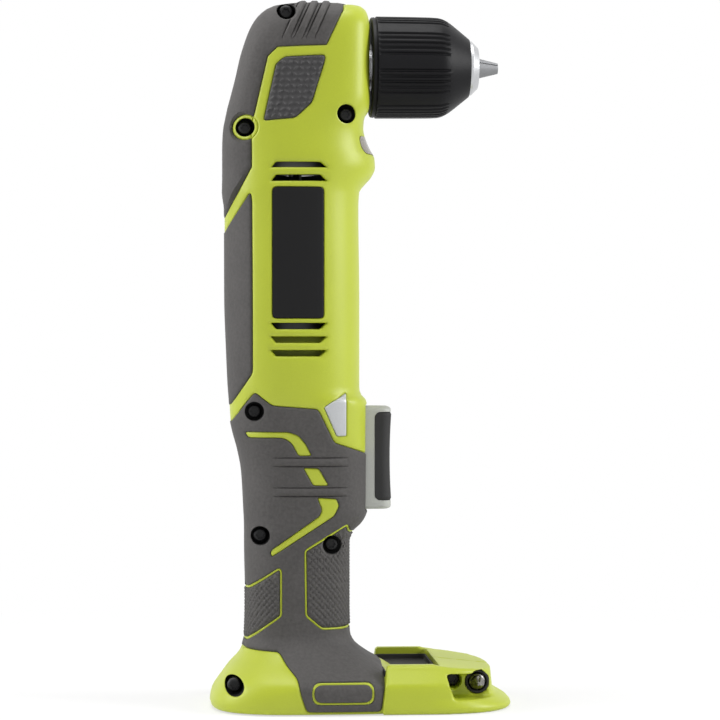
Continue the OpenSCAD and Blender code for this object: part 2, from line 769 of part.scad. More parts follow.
// Slabs across the hollow that carry the inner pieces.
module saddle(z) {
    intersection() {
        body(wall - saddle_bite, z / tool_h - saddle_reach_share, z / tool_h + saddle_reach_share);
        block([-far, -far, z], [far, far, z + saddle_t]);
    }
}
module saddles() {
    for (share = motor_saddle_shares)
        difference() {
            saddle(motor_z + share * motor_l);
            at_motor()
                upright(bore(motor_r + seat_gap), motor_z, motor_top);
            block([motor_x + motor_r - overrun, -motor_r / 2, motor_z], [far, motor_r / 2, motor_top]);
        }
    difference() {
        saddle(ring_z - plate_h + case_saddle_z);
        at_motor()
            upright(bore(case_r + seat_gap), plate_z, spindle_z);
        block([motor_x + case_r - overrun, -case_r / 2, plate_z], [far, case_r / 2, spindle_z]);
    }
    difference() {
        saddle(switch_z - saddle_t / 2);
        block([switch_front_x - switch_l - seat_gap, -switch_w / 2 - seat_gap, switch_z - switch_h],
            [far, switch_w / 2 + seat_gap, switch_z + switch_h]);
        block([switch_front_x - overrun, -far, switch_z - switch_h], [far, far, switch_z + switch_h]);
    }
    difference() {
        saddle(block_z - block_h / 2 + block_saddle_share * block_h);
        block([block_x - block_l / 2 - seat_gap, -block_w / 2 - seat_gap, block_z - block_h],
            [block_x + block_l / 2 + seat_gap, block_w / 2 + seat_gap, block_z + block_h]);
    }
}
// A tapered post from the wall to the middle plane at each screw.
module screw_post(half) {
    hull() {
        across(boss_r, -half, -half + wall);
        across(boss_r - screw_play, -wall, 0);
    }
}
module screw_posts() {
    intersection() {
        body(wall - saddle_bite);
        for (share = screw_shares)
            translate([at(share)[0], 0, at(share)[1]])
                screw_post(body_half(at(share)) + overrun);
    }
    intersection() {
        foot_block();
        at_foot_screw()
            screw_post(foot_w / 2);
    }
}
module at_foot_screw() {
    translate([in_foot(foot_screw_share)[0], 0, in_foot(foot_screw_share)[1]])
        children();
}
// Where each screw's head seats, measured out from the middle plane.
function screw_seat(half) = half - screw_recess - screw_head_h;
module screw_holes(headed) {
    for (share = screw_shares)
        translate([at(share)[0], 0, at(share)[1]])
            screw_hole(screw_seat(body_half(at(share))), headed);
    at_foot_screw()
        screw_hole(screw_seat(notch_wall_y), headed);
}
module screw_hole(seat, headed) {
    across(screw_r + screw_play, headed ? -seat - overrun : -screw_engage - overrun, overrun);
    if (headed)
        across(screw_head_r + screw_play, -far, -seat);
}
module cooling_slots() {
    for (heights = slot_height_shares)
        side_prism(places([[slot_short_shares[0], heights[0]], [slot_short_shares[1], heights[0]],
            [slot_long_shares[1], heights[1]], [slot_long_shares[0], heights[1]]]),
            from = barrel_w / 2 - vent_wall);
}
module trigger_window() {
    block([trigger_back_x, -trigger_w / 2 - free_gap, trigger_z - trigger_h / 2 - free_gap],
        [far, overrun, trigger_z + trigger_h / 2 + free_gap]);
    block([trigger_back_x - trigger_stroke - overrun, -trigger_w / 2 - trigger_lip - free_gap,
            trigger_z - trigger_h / 2 - trigger_lip - free_gap],
        [trigger_back_x + trigger_lip_t + free_gap, overrun,
            trigger_z + trigger_h / 2 + trigger_lip + free_gap]);
}
module at_lens() {
    translate([lens_x, 0, lens_z])
        rotate([0, lens_lean, 0])
            children();
}
module lens_hole() {
    at_lens() {
        upright(bore(lens_r + seat_gap), -lens_t, far / 2);
        upright(lens_r - lens_lip, -far / 5, 0);
    }
}
module bit_hole() {
    translate([in_foot(bit_place_shares)[0], 0, in_foot(bit_place_shares)[1]])
        across(bore(bit_r + grommet_t + seat_gap), -foot_w, overrun);
}
module foot_cuts() {
    side_prism([for (share = notch_shares) in_foot(share)], from = notch_wall_y);
    bit_hole();
    block([tray_shares[0] * foot_l / 2, -tray_w / 2, foot_h - tray_h],
        [tray_shares[1] * foot_l / 2, overrun, far]);
}
// One half of the housing, on the -Y side. The half with the screw heads has the counterbores.
module housing_half(headed) {
    $fn = housing_facets;
    difference() {
        union() {
            difference() {
                body_block();
                body_hollow();
            }
            saddles();
            screw_posts();
        }
        block([-far * 2, 0, -overrun], [far * 2, far * 2, tool_h + far]);
        difference() {
            grip_prism(pad_gap);
            grip_solid(pad_t + seat_gap);
        }
        pad_pocket(0.6, 1)
            pad_prism(places(bumper_shares), pad_gap);
        pad_pocket(0.79, 1)
            pad_prism(places(head_pad_shares), pad_gap);
        pad_pocket(0.36, 0.77)
            pad_prism(places(spine_shares), pad_gap);
        difference() {
            side_prism(places(plate_shares), pad_gap);
            body(plate_t + seat_gap, 0.5, 0.8);
        }
        cooling_slots();
        side_prism(places(selector_shares), free_gap);
        trigger_window();
        lens_hole();
        at_spindle()
            along(spindle_hole_r, 0, far);
        at_spindle()
            along(spindle_hole_r, motor_x + 0.5 * barrel_d - wall, far);
        foot_cuts();
        screw_holes(headed);
    }
}
module left_housing() {
    color(housing_green)
        housing_half(true);
}
module right_housing() {
    color(housing_green)
        other_side()
            housing_half(false);
}

// Overmoulded pads and plates

module pad(low, high) {
    difference() {
        intersection() {
            body(-pad_proud, low, high);
            children();
        }
        body(pad_t, low, high);
    }
}
module grip_half() {
    difference() {
        intersection() {
            grip_solid(-pad_proud);
            grip_prism(0);
        }
        grip_solid(pad_t);
        foot_cuts();
        trigger_window();
    }
}
module left_grip() {
    color(pad_grey)
        grip_half();
}
module right_grip() {
    color(pad_grey)
        other_side()
            grip_half();
}
module head_bumpers() {
    color(pad_grey)
        both_sides()
            pad(0.6, 1)
                pad_prism(places(bumper_shares), 0);
}
module head_pads() {
    color(pad_grey)
        both_sides()
            pad(0.79, 1)
                side_prism(places(head_pad_shares));
}
module spine_pads() {
    color(pad_grey)
        both_sides()
            pad(0.36, 0.77)
                pad_prism(places(spine_shares), 0);
}
module side_plates() {
    color("black")
        both_sides()
            difference() {
                intersection() {
                    body(0, 0.5, 0.8);
                    side_prism(places(plate_shares));
                }
                body(plate_t, 0.5, 0.8);
            }
}

// Fasteners of the housing

module screw(seat) {
    across(screw_r, -seat, screw_engage);
    across(screw_head_r, -seat - screw_head_h, -seat);
}
module housing_screws() {
    color("black")
        for (share = screw_shares)
            translate([at(share)[0], 0, at(share)[1]])
                screw(screw_seat(body_half(at(share))));
}
module foot_screw() {
    color("black")
        at_foot_screw()
            screw(screw_seat(notch_wall_y));
}

// Gear case, bearings and bushes

module gear_case() {
    color("silver")
        difference() {
            union() {
                at_motor() {
                    upright(case_r, ring_z, ring_z + ring_h + case_roof);
                    upright(case_neck_r, ring_z + ring_h, spindle_z);
                }
                at_spindle() {
                    along(case_head_r, case_cavity_rear_x - case_head_wall, bearing_front_x);
                    along(case_boss_r, case_rear_x, case_cavity_rear_x);
                    flange_disc(bearing_front_x - case_flange_t, bearing_front_x);
                }
            }
            at_motor() {
                upright(ring_r + seat_gap, ring_z - overrun, ring_z + ring_h);
                upright(carrier_r + free_gap, ring_z, pinion_bush_z - free_gap);
                upright(pinion_shaft_r + bush_t + seat_gap, ring_z, pinion_bush_z + pinion_bush_h);
                upright(pinion_shaft_r + bush_t - free_gap, ring_z, spindle_z);
            }
            at_spindle() {
                along(bearing_r + free_gap, case_cavity_rear_x, bearing_rear_x);
                along(bearing_r + seat_gap, case_cavity_rear_x, bearing_front_x + overrun);
                along(rear_journal_r + rear_bush_t + seat_gap, case_rear_x + case_head_wall, motor_x);
                retainer_places()
                    along(screw_r * retainer_screw_share + seat_gap, bearing_front_x - case_flange_t - overrun,
                        bearing_front_x + overrun);
            }
        }
}
// The round flange at the front of the case, flat below to clear a screw post.
module flange_disc(from, to) {
    difference() {
        along(case_flange_r, from, to);
        block([from - overrun, -far, -far], [to + overrun, far, -flange_flat]);
    }
}
retainer_screw_share = 0.8;
retainer_screw_count = 3;
retainer_screw_r = (bearing_r + case_flange_r) / 2;
module retainer_places() {
    for (k = [0 : retainer_screw_count - 1])
        rotate([360 / retainer_screw_count * k, 0, 0])
            translate([0, 0, retainer_screw_r])
                children();
}
module gear_case_plate() {
    color("silver")
        at_motor()
            difference() {
                upright(case_r, plate_z, ring_z);
                upright(plate_hole_r, plate_z - overrun, ring_z + overrun);
            }
}
module ring_gear() {
    color("gray")
        at_motor()
            translate([0, 0, ring_z])
                linear_extrude(ring_h)
                    difference() {
                        circle(ring_r);
                        polygon(spur(ring_teeth, ring_tooth_shares, -backlash));
                    }
}
function ball_orbit() = (bearing_r + spindle_r + race_t - race_t) / 2;
module race(inner, outer) {
    difference() {
        along(outer, bearing_rear_x, bearing_front_x);
        along(inner, bearing_rear_x - overrun, bearing_front_x + overrun);
        translate([(bearing_rear_x + bearing_front_x) / 2, 0, 0])
            rotate([0, 90, 0])
                rotate_extrude()
                    translate([ball_orbit(), 0])
                        circle(ball_r + ball_gap);
    }
}
module spindle_bearing() {
    color("lightgray")
        at_spindle() {
            race(bearing_r - race_t, bearing_r);
            for (k = [0 : ball_count - 1])
                rotate([360 / ball_count * k, 0, 0])
                    translate([(bearing_rear_x + bearing_front_x) / 2, 0, ball_orbit()])
                        sphere(ball_r);
        }
}
module spindle_bearing_inner() {
    color("lightgray")
        at_spindle()
            race(spindle_r + seat_gap, spindle_r + race_t);
}
module bearing_retainer() {
    color("gray")
        at_spindle()
            difference() {
                flange_disc(bearing_front_x, bearing_front_x + retainer_t);
                along(retainer_hole_r, bearing_front_x - overrun, bearing_front_x + retainer_t + overrun);
                retainer_places()
                    along(screw_r + seat_gap, bearing_front_x - overrun,
                        bearing_front_x + retainer_t + overrun);
            }
}
module retainer_screws() {
    color("dimgray")
        at_spindle()
            retainer_places() {
                along(screw_r * retainer_screw_share, bearing_front_x - case_flange_t,
                    bearing_front_x + retainer_t);
                along(screw_r * 2 * retainer_screw_share, bearing_front_x + retainer_t,
                    bearing_front_x + retainer_t + screw_r * retainer_screw_share);
            }
}
module rear_bush() {
    color("darkgoldenrod")
        at_spindle()
            difference() {
                along(rear_journal_r + rear_bush_t, case_rear_x + case_head_wall,
                    case_rear_x + case_head_wall + rear_bush_l);
                along(rear_journal_r + run_gap, case_rear_x, motor_x);
            }
}
module pinion_bush() {
    color("darkgoldenrod")
        at_motor()
            difference() {
                upright(pinion_shaft_r + bush_t, pinion_bush_z, pinion_bush_z + pinion_bush_h);
                upright(pinion_shaft_r + run_gap, pinion_bush_z - overrun,
                    pinion_bush_z + pinion_bush_h + overrun);
            }
}

// Motor

module motor_can() {
    color("slategray")
        at_motor()
            difference() {
                upright(motor_r, motor_z, motor_top);
                upright(motor_r - can_t, motor_z - overrun, motor_top - can_t);
                upright(front_bush_r + seat_gap, motor_z, motor_top + overrun);
            }
}
module motor_magnets() {
    color("dimgray")
        at_motor()
            for (turn = [0, 180])
                rotate([0, 0, turn - magnet_arc / 2])
                    translate([0, 0, armature_z + (armature_l - magnet_l) / 2])
                        rotate_extrude(angle = magnet_arc)
                            translate([motor_r - can_t - seat_gap - magnet_t, 0])
                                square([magnet_t, magnet_l]);
}
module motor_end_cap() {
    color("dimgray")
        at_motor()
            difference() {
                union() {
                    upright(motor_r - can_t - seat_gap, motor_z, motor_z + end_cap_h);
                    brush_holders();
                }
                upright(front_bush_r + seat_gap, motor_z - overrun, motor_z + motor_bush_h);
                upright(commutator_r + free_gap, motor_z + motor_bush_h - overrun, motor_top);
                brush_blocks(seat_gap);
            }
}
brush_lift = 1.6;
brush_z = motor_z + end_cap_h + brush_lift;
brush_wall = 1.4;
module brush_holders() {
    for (turn = [0, 180])
        rotate([0, 0, turn])
            block([commutator_r + free_gap, -brush_w / 2 - brush_wall, motor_z + end_cap_h - overrun],
                [commutator_r + brush_l + brush_wall, brush_w / 2 + brush_wall,
                    brush_z + brush_h + brush_wall]);
}
module brush_blocks(grow) {
    for (turn = [0, 180])
        rotate([0, 0, turn])
            block([commutator_r + run_gap, -brush_w / 2 - grow, brush_z - grow],
                [commutator_r + brush_l + grow, brush_w / 2 + grow, brush_z + brush_h + grow]);
}
module motor_brushes() {
    color("black")
        at_motor()
            brush_blocks(0);
}
module motor_bushes() {
    color("darkgoldenrod")
        at_motor()
            for (z = [motor_z, motor_top - can_t])
                difference() {
                    upright(front_bush_r, z, z + motor_bush_h);
                    upright(shaft_r + run_gap, z - overrun, z + motor_bush_h + overrun);
                }
}
shaft_tail = 0.5;
module motor_shaft() {
    color("lightgray")
        at_motor()
            upright(shaft_r, motor_z + shaft_tail, planet_z + gear_face);
}
module armature() {
    color("gray")
        at_motor()
            difference() {
                upright(armature_r, armature_z, armature_z + armature_l);
                upright(shaft_r + seat_gap, armature_z - overrun, armature_z + armature_l + overrun);
                for (k = [0 : armature_slots - 1])
                    rotate([0, 0, 360 / armature_slots * k])
                        block([armature_r - armature_slot_depth, -armature_slot_w / 2, armature_z - overrun],
                            [armature_r + overrun, armature_slot_w / 2, armature_z + armature_l + overrun]);
            }
}
module armature_windings() {
    color("peru")
        at_motor()
            for (z = [armature_z - winding_h, armature_z + armature_l])
                difference() {
                    upright(winding_r, z, z + winding_h);
                    upright(winding_in_r, z - overrun, z + winding_h + overrun);
                }
}
module collar(outer, from, to) {
    difference() {
        upright(outer, from, to);
        upright(shaft_r + seat_gap, from - overrun, to + overrun);
    }
}
module commutator() {
    color("peru")
        at_motor()
            collar(commutator_r, commutator_z, commutator_z + commutator_h);
}
module cooling_fan() {
    color("darkslategray")
        at_motor()
            difference() {
                union() {
                    upright(fan_hub_r, fan_z, fan_z + fan_h);
                    upright(fan_r, fan_z, fan_z + fan_plate_t);
                    for (k = [0 : fan_blades - 1])
                        rotate([0, 0, 360 / fan_blades * k])
                            block([fan_hub_r - fan_blade_t, -fan_blade_t / 2, fan_z],
                                [fan_r - fan_blade_t, fan_blade_t / 2, fan_z + fan_h]);
                }
                upright(shaft_r + seat_gap, fan_z - overrun, fan_z + fan_h + overrun);
            }
}

// Planetary stage and bevel pair

module sun_gear() {
    color("gray")
        at_motor()
            translate([0, 0, planet_z])
                linear_extrude(gear_face)
                    difference() {
                        polygon(spur(sun_teeth, sun_tooth_shares, backlash));
                        circle(shaft_r + seat_gap);
                    }
}
planets = 3;
module at_planet(k) {
    rotate([0, 0, 360 / planets * (k - 1)])
        translate([orbit_r, 0, 0])
            children();
}
module planet_gear(k) {
    color("darkgray")
        at_motor()
            at_planet(k)
                translate([0, 0, planet_z])
                    linear_extrude(gear_face)
                        difference() {
                            polygon(spur(planet_teeth, planet_tooth_shares, backlash));
                            circle(planet_pin_r + run_gap);
                        }
}
module planet_carrier() {
    color("gray")
        at_motor()
            difference() {
                union() {
                    upright(carrier_r, carrier_z, carrier_z + carrier_t);
                    for (k = [1 : planets])
                        at_planet(k)
                            upright(planet_pin_r, planet_z, carrier_z + carrier_t / 2);
                }
                upright(pinion_tail_r + seat_gap, carrier_z - overrun, carrier_z + carrier_t + overrun);
            }
}
module bevel_pinion() {
    color("lightgray")
        at_motor()
            at_spindle()
                rotate([180, 0, 0])
                    difference() {
                        bevel(pinion_teeth, pinion_cone, pinion_tooth_shares, pinion_root);
                        upright(pinion_stub_r + seat_gap, 0, pinion_root + overrun);
                    }
}
module pinion_shaft() {
    color("lightgray")
        at_motor() {
            upright(pinion_tail_r, carrier_z, carrier_z + carrier_t + free_gap);
            upright(pinion_shaft_r, carrier_z + carrier_t + run_gap, spindle_z - pinion_root - run_gap);
            upright(pinion_stub_r, carrier_z + carrier_t, spindle_z - bevel_small_share * pinion_root);
        }
}
module bevel_gear() {
    color("lightgray")
        at_spindle()
            difference() {
                union() {
                    translate([motor_x, 0, 0])
                        rotate([180, 0, 0])
                            rotate([0, 90, 0])
                                bevel(crown_teeth, crown_cone, crown_tooth_shares, crown_root);
                    along(crown_hub_r, motor_x + crown_root - run_gap, bearing_rear_x - run_gap);
                }
                along(spindle_r + seat_gap, case_rear_x, bearing_front_x);
            }
}
crown_hub_r = 8.4;
module spindle() {
    color("lightgray")
        difference() {
            union() {
                at_spindle() {
                    along(rear_journal_r, case_rear_x + case_head_wall + free_gap,
                        case_cavity_rear_x + overrun);
                    along(spindle_r, case_cavity_rear_x + overrun, bearing_front_x);
                    along(shoulder_r, bearing_front_x, chuck_x + chuck_seat);
                }
                at_chuck()
                    along(thread_r, 0, chuck_seat + thread_l);
            }
            at_chuck()
                along(chuck_screw_r + run_gap, chuck_seat, chuck_seat + thread_l + overrun);
        }
}

// Chuck

module at_jaw(k) {
    rotate([360 / jaw_count * (k - 1), 0, 0])
        translate([jaw_cross, 0, 0])
            rotate([0, jaw_slope, 0])
                children();
}
module chuck_body() {
    nose = sleeve_l + nose_out;
    web = chuck_seat + thread_l + thread_gap;
    color("silver")
        at_chuck()
            difference() {
                turned([[chuck_seat, thread_r + thread_gap], [chuck_seat, hub_r], [hub_l, hub_r],
                    [hub_l, nose_r],
                    [nose - nose_chamfer, nose_r], [nose, nose_r - nose_chamfer], [nose, chamber_r],
                    [web + web_l, chamber_r], [web + web_l, chuck_screw_r + run_gap],
                    [web, chuck_screw_r + run_gap], [web, thread_r + thread_gap]]);
                for (k = [1 : jaw_count])
                    at_jaw(k)
                        rotate([0, -90, 0])
                            upright(jaw_r + jaw_play, 0, far);
            }
}
module chuck_rear_cap() {
    color("dimgray")
        at_chuck()
            difference() {
                along(sleeve_bore - free_gap, chuck_seat, chuck_seat + cap_t);
                along(hub_r + seat_gap, 0, chuck_seat + cap_t + overrun);
            }
}
sleeve_bore = sleeve_r - sleeve_wall;
module chuck_screw() {
    head = chuck_seat + thread_l + thread_gap + web_l;
    color("dimgray")
        at_chuck() {
            along(chuck_screw_r, chuck_seat + free_gap, head);
            along(chuck_screw_head_r, head, head + chuck_screw_head_h);
        }
}
module chuck_sleeve() {
    nut_at = nut_share * sleeve_l;
    mouth_r = nose_r + free_gap;
    color("black")
        at_chuck()
            difference() {
                turned([[0, sleeve_bore], [0, sleeve_r - sleeve_edge], [sleeve_edge, sleeve_r],
                    [cone_start_share * sleeve_l, sleeve_r - sleeve_taper],
                    [cone_knee_share * sleeve_l, sleeve_cone_r], [sleeve_l, mouth_r + sleeve_edge],
                    [sleeve_l, mouth_r], [nut_at + nut_l + seat_gap, nut_r + seat_gap],
                    [nut_at - free_gap, nut_r + seat_gap], [nut_at - free_gap, sleeve_bore]]);
                for (group = [0 : sleeve_groups - 1], k = [0 : sleeve_grooves - 1])
                    rotate([360 / sleeve_groups * group + groove_pitch * (k - (sleeve_grooves - 1) / 2), 0, 0])
                        translate([0, 0, sleeve_r - groove_depth + groove_r - sleeve_taper / 2])
                            along(groove_r, groove_start, cone_knee_share * sleeve_l);
            }
}
module jaw_nut() {
    nut_at = nut_share * sleeve_l;
    edge = jaw_r / cos(jaw_slope) + free_gap;
    color("gray")
        at_chuck()
            turned([[nut_at, (jaw_cross - nut_at) * tan(jaw_slope) + edge], [nut_at, nut_r],
                [nut_at + nut_l, nut_r],
                [nut_at + nut_l, (jaw_cross - nut_at - nut_l) * tan(jaw_slope) + edge]]);
}
module jaw(k) {
    color("lightgray")
        at_chuck()
            intersection() {
                at_jaw(k)
                    rotate([0, -90, 0])
                        upright(jaw_r, 0, jaw_l + jaw_cross - jaw_tip);
                turned([[0, 0], [0, far / 2], [sleeve_l, far / 2], [sleeve_l, jaw_root_r + nose_out],
                    [sleeve_l + nose_out, jaw_root_r], [jaw_tip, jaw_tip_r], [jaw_tip, 0]]);
                rotate([360 / jaw_count * (k - 1), 0, 0])
                    rotate([90, 0, 90])
                        linear_extrude(far)
                            polygon([[0, jaw_gap], [far / 2 * tan(60), far / 2 + jaw_gap],
                                [-far / 2 * tan(60), far / 2 + jaw_gap]]);
            }
}

// Trigger, switch and selector

module trigger_profile(inset) {
    translate([trigger_back_x, trigger_z - trigger_h / 2])
        rounded_rect([trigger_front_x - trigger_back_x, trigger_h], trigger_edge);
}
module trigger() {
    color("lightgray")
        difference() {
            union() {
                rotate([90, 0, 0])
                    linear_extrude(trigger_w, center = true)
                        trigger_profile();
                block([trigger_back_x, -trigger_w / 2 - trigger_lip, trigger_z - trigger_h / 2 - trigger_lip],
                    [trigger_back_x + trigger_lip_t, trigger_w / 2 + trigger_lip,
                        trigger_z + trigger_h / 2 + trigger_lip]);
                translate([0, 0, switch_z])
                    along(plunger_r, trigger_back_x - plunger_l, trigger_back_x + overrun);
            }
            trigger_pad_block(seat_gap, trigger_w + overrun);
            translate([0, 0, switch_z])
                difference() {
                    along(spring_pocket_r, trigger_back_x - overrun, trigger_back_x + spring_pocket_l);
                    along(plunger_r, trigger_back_x - 2 * overrun, trigger_back_x + spring_pocket_l + overrun);
                }
        }
}
module trigger_pad_block(grow, width) {
    height = trigger_pad_h_share * trigger_h + 2 * grow;
    rotate([90, 0, 0])
        linear_extrude(width, center = true)
            translate([trigger_front_x - trigger_pad_in - grow, trigger_z - height / 2])
                rounded_rect([trigger_pad_in + grow + trigger_edge, height], trigger_edge);
}
module trigger_pad() {
    color("dimgray")
        difference() {
            trigger_pad_block(0, trigger_w);
            translate([trigger_front_x - finger_sag + finger_r, 0, trigger_z])
                across(finger_r, -trigger_w, trigger_w, $fn = finger_facets);
        }
}
spring_ring_steps = 8;
spring_from = switch_front_x + spring_wire_r + spring_gap;
spring_to = trigger_back_x + spring_pocket_l - spring_wire_r - spring_gap;
spring_steps = spring_turns * spring_ring_steps;
spring_route = [for (k = [0 : spring_steps])
    [spring_from + (spring_to - spring_from) * k / spring_steps,
        spring_r * cos(360 * k / spring_ring_steps),
        switch_z + spring_r * sin(360 * k / spring_ring_steps)]];
module trigger_spring() {
    color("silver")
        tube(spring_route, spring_wire_r, 6, [1, 0, 0]);
}
module trigger_switch() {
    color("black")
        difference() {
            block([switch_front_x - switch_l, -switch_w / 2, switch_z - switch_h / 2],
                [switch_front_x, switch_w / 2, switch_z + switch_h / 2]);
            translate([0, 0, switch_z])
                along(plunger_r + free_gap, trigger_back_x - plunger_l - trigger_stroke - overrun,
                    switch_front_x + overrun);
        }
}
module selector_end() {
    difference() {
        intersection() {
            body(-selector_proud, 0.33, 0.5);
            side_prism(places(selector_shares));
        }
        body(selector_t, 0.33, 0.5);
    }
}
module direction_selector() {
    color("whitesmoke") {
        both_sides()
            selector_end();
        intersection() {
            body(selector_t / 2, 0.33, 0.5);
            block([selector_bar_x - selector_bar_d / 2, -far, selector_bar_z - selector_bar_h / 2],
                [selector_bar_x + selector_bar_d / 2, far, selector_bar_z + selector_bar_h / 2]);
        }
        block([selector_bar_x - selector_bar_d / 2, -selector_prong_d / 2, switch_z + switch_h / 2 + free_gap],
            [selector_bar_x + selector_bar_d / 2, selector_prong_d / 2, selector_bar_z]);
    }
}

// Battery contacts and leads

module terminal_block() {
    color("black")
        block([block_x - block_l / 2, -block_w / 2, block_z - block_h / 2],
            [block_x + block_l / 2, block_w / 2, block_z + block_h / 2]);
}
module terminal_blades() {
    color("goldenrod")
        for (k = [0 : blade_count - 1])
            translate([block_x, (k - (blade_count - 1) / 2) * blade_pitch, block_z - block_h / 2])
                block([-blade_d / 2, -blade_t / 2, -blade_l], [blade_d / 2, blade_t / 2, 0]);
}
module battery_leads() {
    color("firebrick")
        for (y = [-battery_lead_y, battery_lead_y])
            translate([0, y, 0])
                tube(lead_route(battery_lead_shares), lead_r, lead_sides, [0, 1, 0]);
}
module motor_leads() {
    color("firebrick")
        for (y = [-motor_lead_y, motor_lead_y])
            translate([0, y, 0])
                tube(lead_route(motor_lead_shares), lead_r, lead_sides, [0, 1, 0]);
}
module light_leads() {
    color("black")
        tube(lead_route(light_lead_shares), light_lead_r, lead_sides, [0, 1, 0]);
}

// Work light and stored bit

module light_lens() {
    color("lightgray")
        at_lens()
            upright(lens_r, -lens_t, 0);
}
module light_board() {
    color("green")
        at_lens() {
            upright(lens_r - lens_lip - seat_gap, -lens_t - led_h - led_board_t, -lens_t - led_h);
            upright(led_r, -lens_t - led_h - run_gap, -lens_t - run_gap);
        }
}
module at_bit() {
    translate([in_foot(bit_place_shares)[0], 0, in_foot(bit_place_shares)[1]])
        rotate([-90, 0, 0])
            children();
}
module driver_bit() {
    shank = bit_l / 2 - bit_neck_l - bit_tip_l;
    color("gray")
        at_bit() {
            translate([0, 0, -shank])
                cylinder(r = bit_r, h = 2 * shank, $fn = 6);
            upright(bit_neck_r, -shank - bit_neck_l, shank + bit_neck_l);
            translate([0, 0, shank + bit_neck_l])
                cylinder(r1 = bit_neck_r, r2 = bit_tip_r, h = bit_tip_l);
            translate([0, 0, -shank - bit_neck_l - bit_tip_l])
                cylinder(r1 = bit_tip_r, r2 = bit_neck_r, h = bit_tip_l);
        }
}
module bit_grommets() {
    seat = notch_wall_y;
    color("black")
        at_bit()
            for (z = [-seat, seat - grommet_l])
                difference() {
                    upright(bit_r + grommet_t, z, z + grommet_l);
                    upright(bit_r + run_gap, z - overrun, z + grommet_l + overrun);
                }
}

left_housing();
right_housing();
left_grip();
right_grip();
head_bumpers();
head_pads();
spine_pads();
side_plates();
housing_screws();
foot_screw();
gear_case();
gear_case_plate();
ring_gear();
spindle_bearing();
spindle_bearing_inner();
bearing_retainer();
retainer_screws();
rear_bush();
pinion_bush();
motor_can();
motor_magnets();
motor_end_cap();
motor_brushes();
motor_bushes();
motor_shaft();
armature();
armature_windings();
commutator();
cooling_fan();
sun_gear();
planet_carrier();
pinion_shaft();
bevel_pinion();
planet_gear(1);  // planet_gear_1
planet_gear(2);  // planet_gear_2
planet_gear(3);  // planet_gear_3
spindle();
bevel_gear();
chuck_body();
chuck_rear_cap();
chuck_screw();
chuck_sleeve();
jaw_nut();
jaw(1);  // jaw_1
jaw(2);  // jaw_2
jaw(3);  // jaw_3
trigger();
trigger_pad();
trigger_spring();
trigger_switch();
direction_selector();
terminal_block();
terminal_blades();
battery_leads();
motor_leads();
light_leads();
light_lens();
light_board();
driver_bit();
bit_grommets();
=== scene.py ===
# Cordless right angle drill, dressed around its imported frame.
# Lengths are in millimetres in the frame's own axes, and become metres where a mesh is made.
import math

import bmesh
import bpy
import numpy as np
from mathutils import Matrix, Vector, kdtree
from mathutils.geometry import delaunay_2d_cdt


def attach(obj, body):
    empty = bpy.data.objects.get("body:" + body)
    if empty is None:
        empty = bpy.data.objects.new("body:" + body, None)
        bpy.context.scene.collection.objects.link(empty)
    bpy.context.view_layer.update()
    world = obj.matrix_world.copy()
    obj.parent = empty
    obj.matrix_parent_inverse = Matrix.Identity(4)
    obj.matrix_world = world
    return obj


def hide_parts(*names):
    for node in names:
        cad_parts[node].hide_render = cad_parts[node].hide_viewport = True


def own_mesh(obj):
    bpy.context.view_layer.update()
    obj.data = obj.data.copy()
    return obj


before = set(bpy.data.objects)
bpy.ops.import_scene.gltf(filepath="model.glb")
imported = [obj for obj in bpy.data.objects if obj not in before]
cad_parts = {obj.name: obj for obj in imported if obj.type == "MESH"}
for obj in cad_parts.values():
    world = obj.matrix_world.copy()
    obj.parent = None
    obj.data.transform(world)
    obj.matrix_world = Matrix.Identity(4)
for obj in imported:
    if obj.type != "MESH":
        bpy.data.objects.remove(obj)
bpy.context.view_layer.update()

# Motor, gears, bearings, switch and contacts inside the housing.
# Pressed, cast, sintered and turned metal with a few moulded pieces, pressed or clipped into the housing.
# The frame's own solids stay, and only get their finishes; those of the gear case and the motor can are
# darkened as painted shade inside the slots.


def shade(red, green, blue):
    """A colour as a camera records it, in the renderer's linear values."""
    def linear(value):
        share = value / 255
        return share / 12.92 if share <= 0.04045 else ((share + 0.055) / 1.055) ** 2.4
    return (linear(red), linear(green), linear(blue), 1)


def added(tree, kind, values, **settings):
    """A new shader node with its settings, and with inputs that are set or linked to other nodes' outputs."""
    node = tree.nodes.new("ShaderNode" + kind)
    for setting, value in settings.items():
        setattr(node, setting, value)
    for socket, value in values.items():
        if isinstance(value, bpy.types.NodeSocket):
            tree.links.new(value, node.inputs[socket])
        else:
            node.inputs[socket].default_value = value
    return node


finish_sockets = [("INPUT", "Colour", "Color"), ("INPUT", "Spread", "Float"), ("INPUT", "Roughness", "Float"),
                  ("INPUT", "Scale", "Float"), ("OUTPUT", "Colour", "Color"), ("OUTPUT", "Roughness", "Float"),
                  ("OUTPUT", "Height", "Float")]


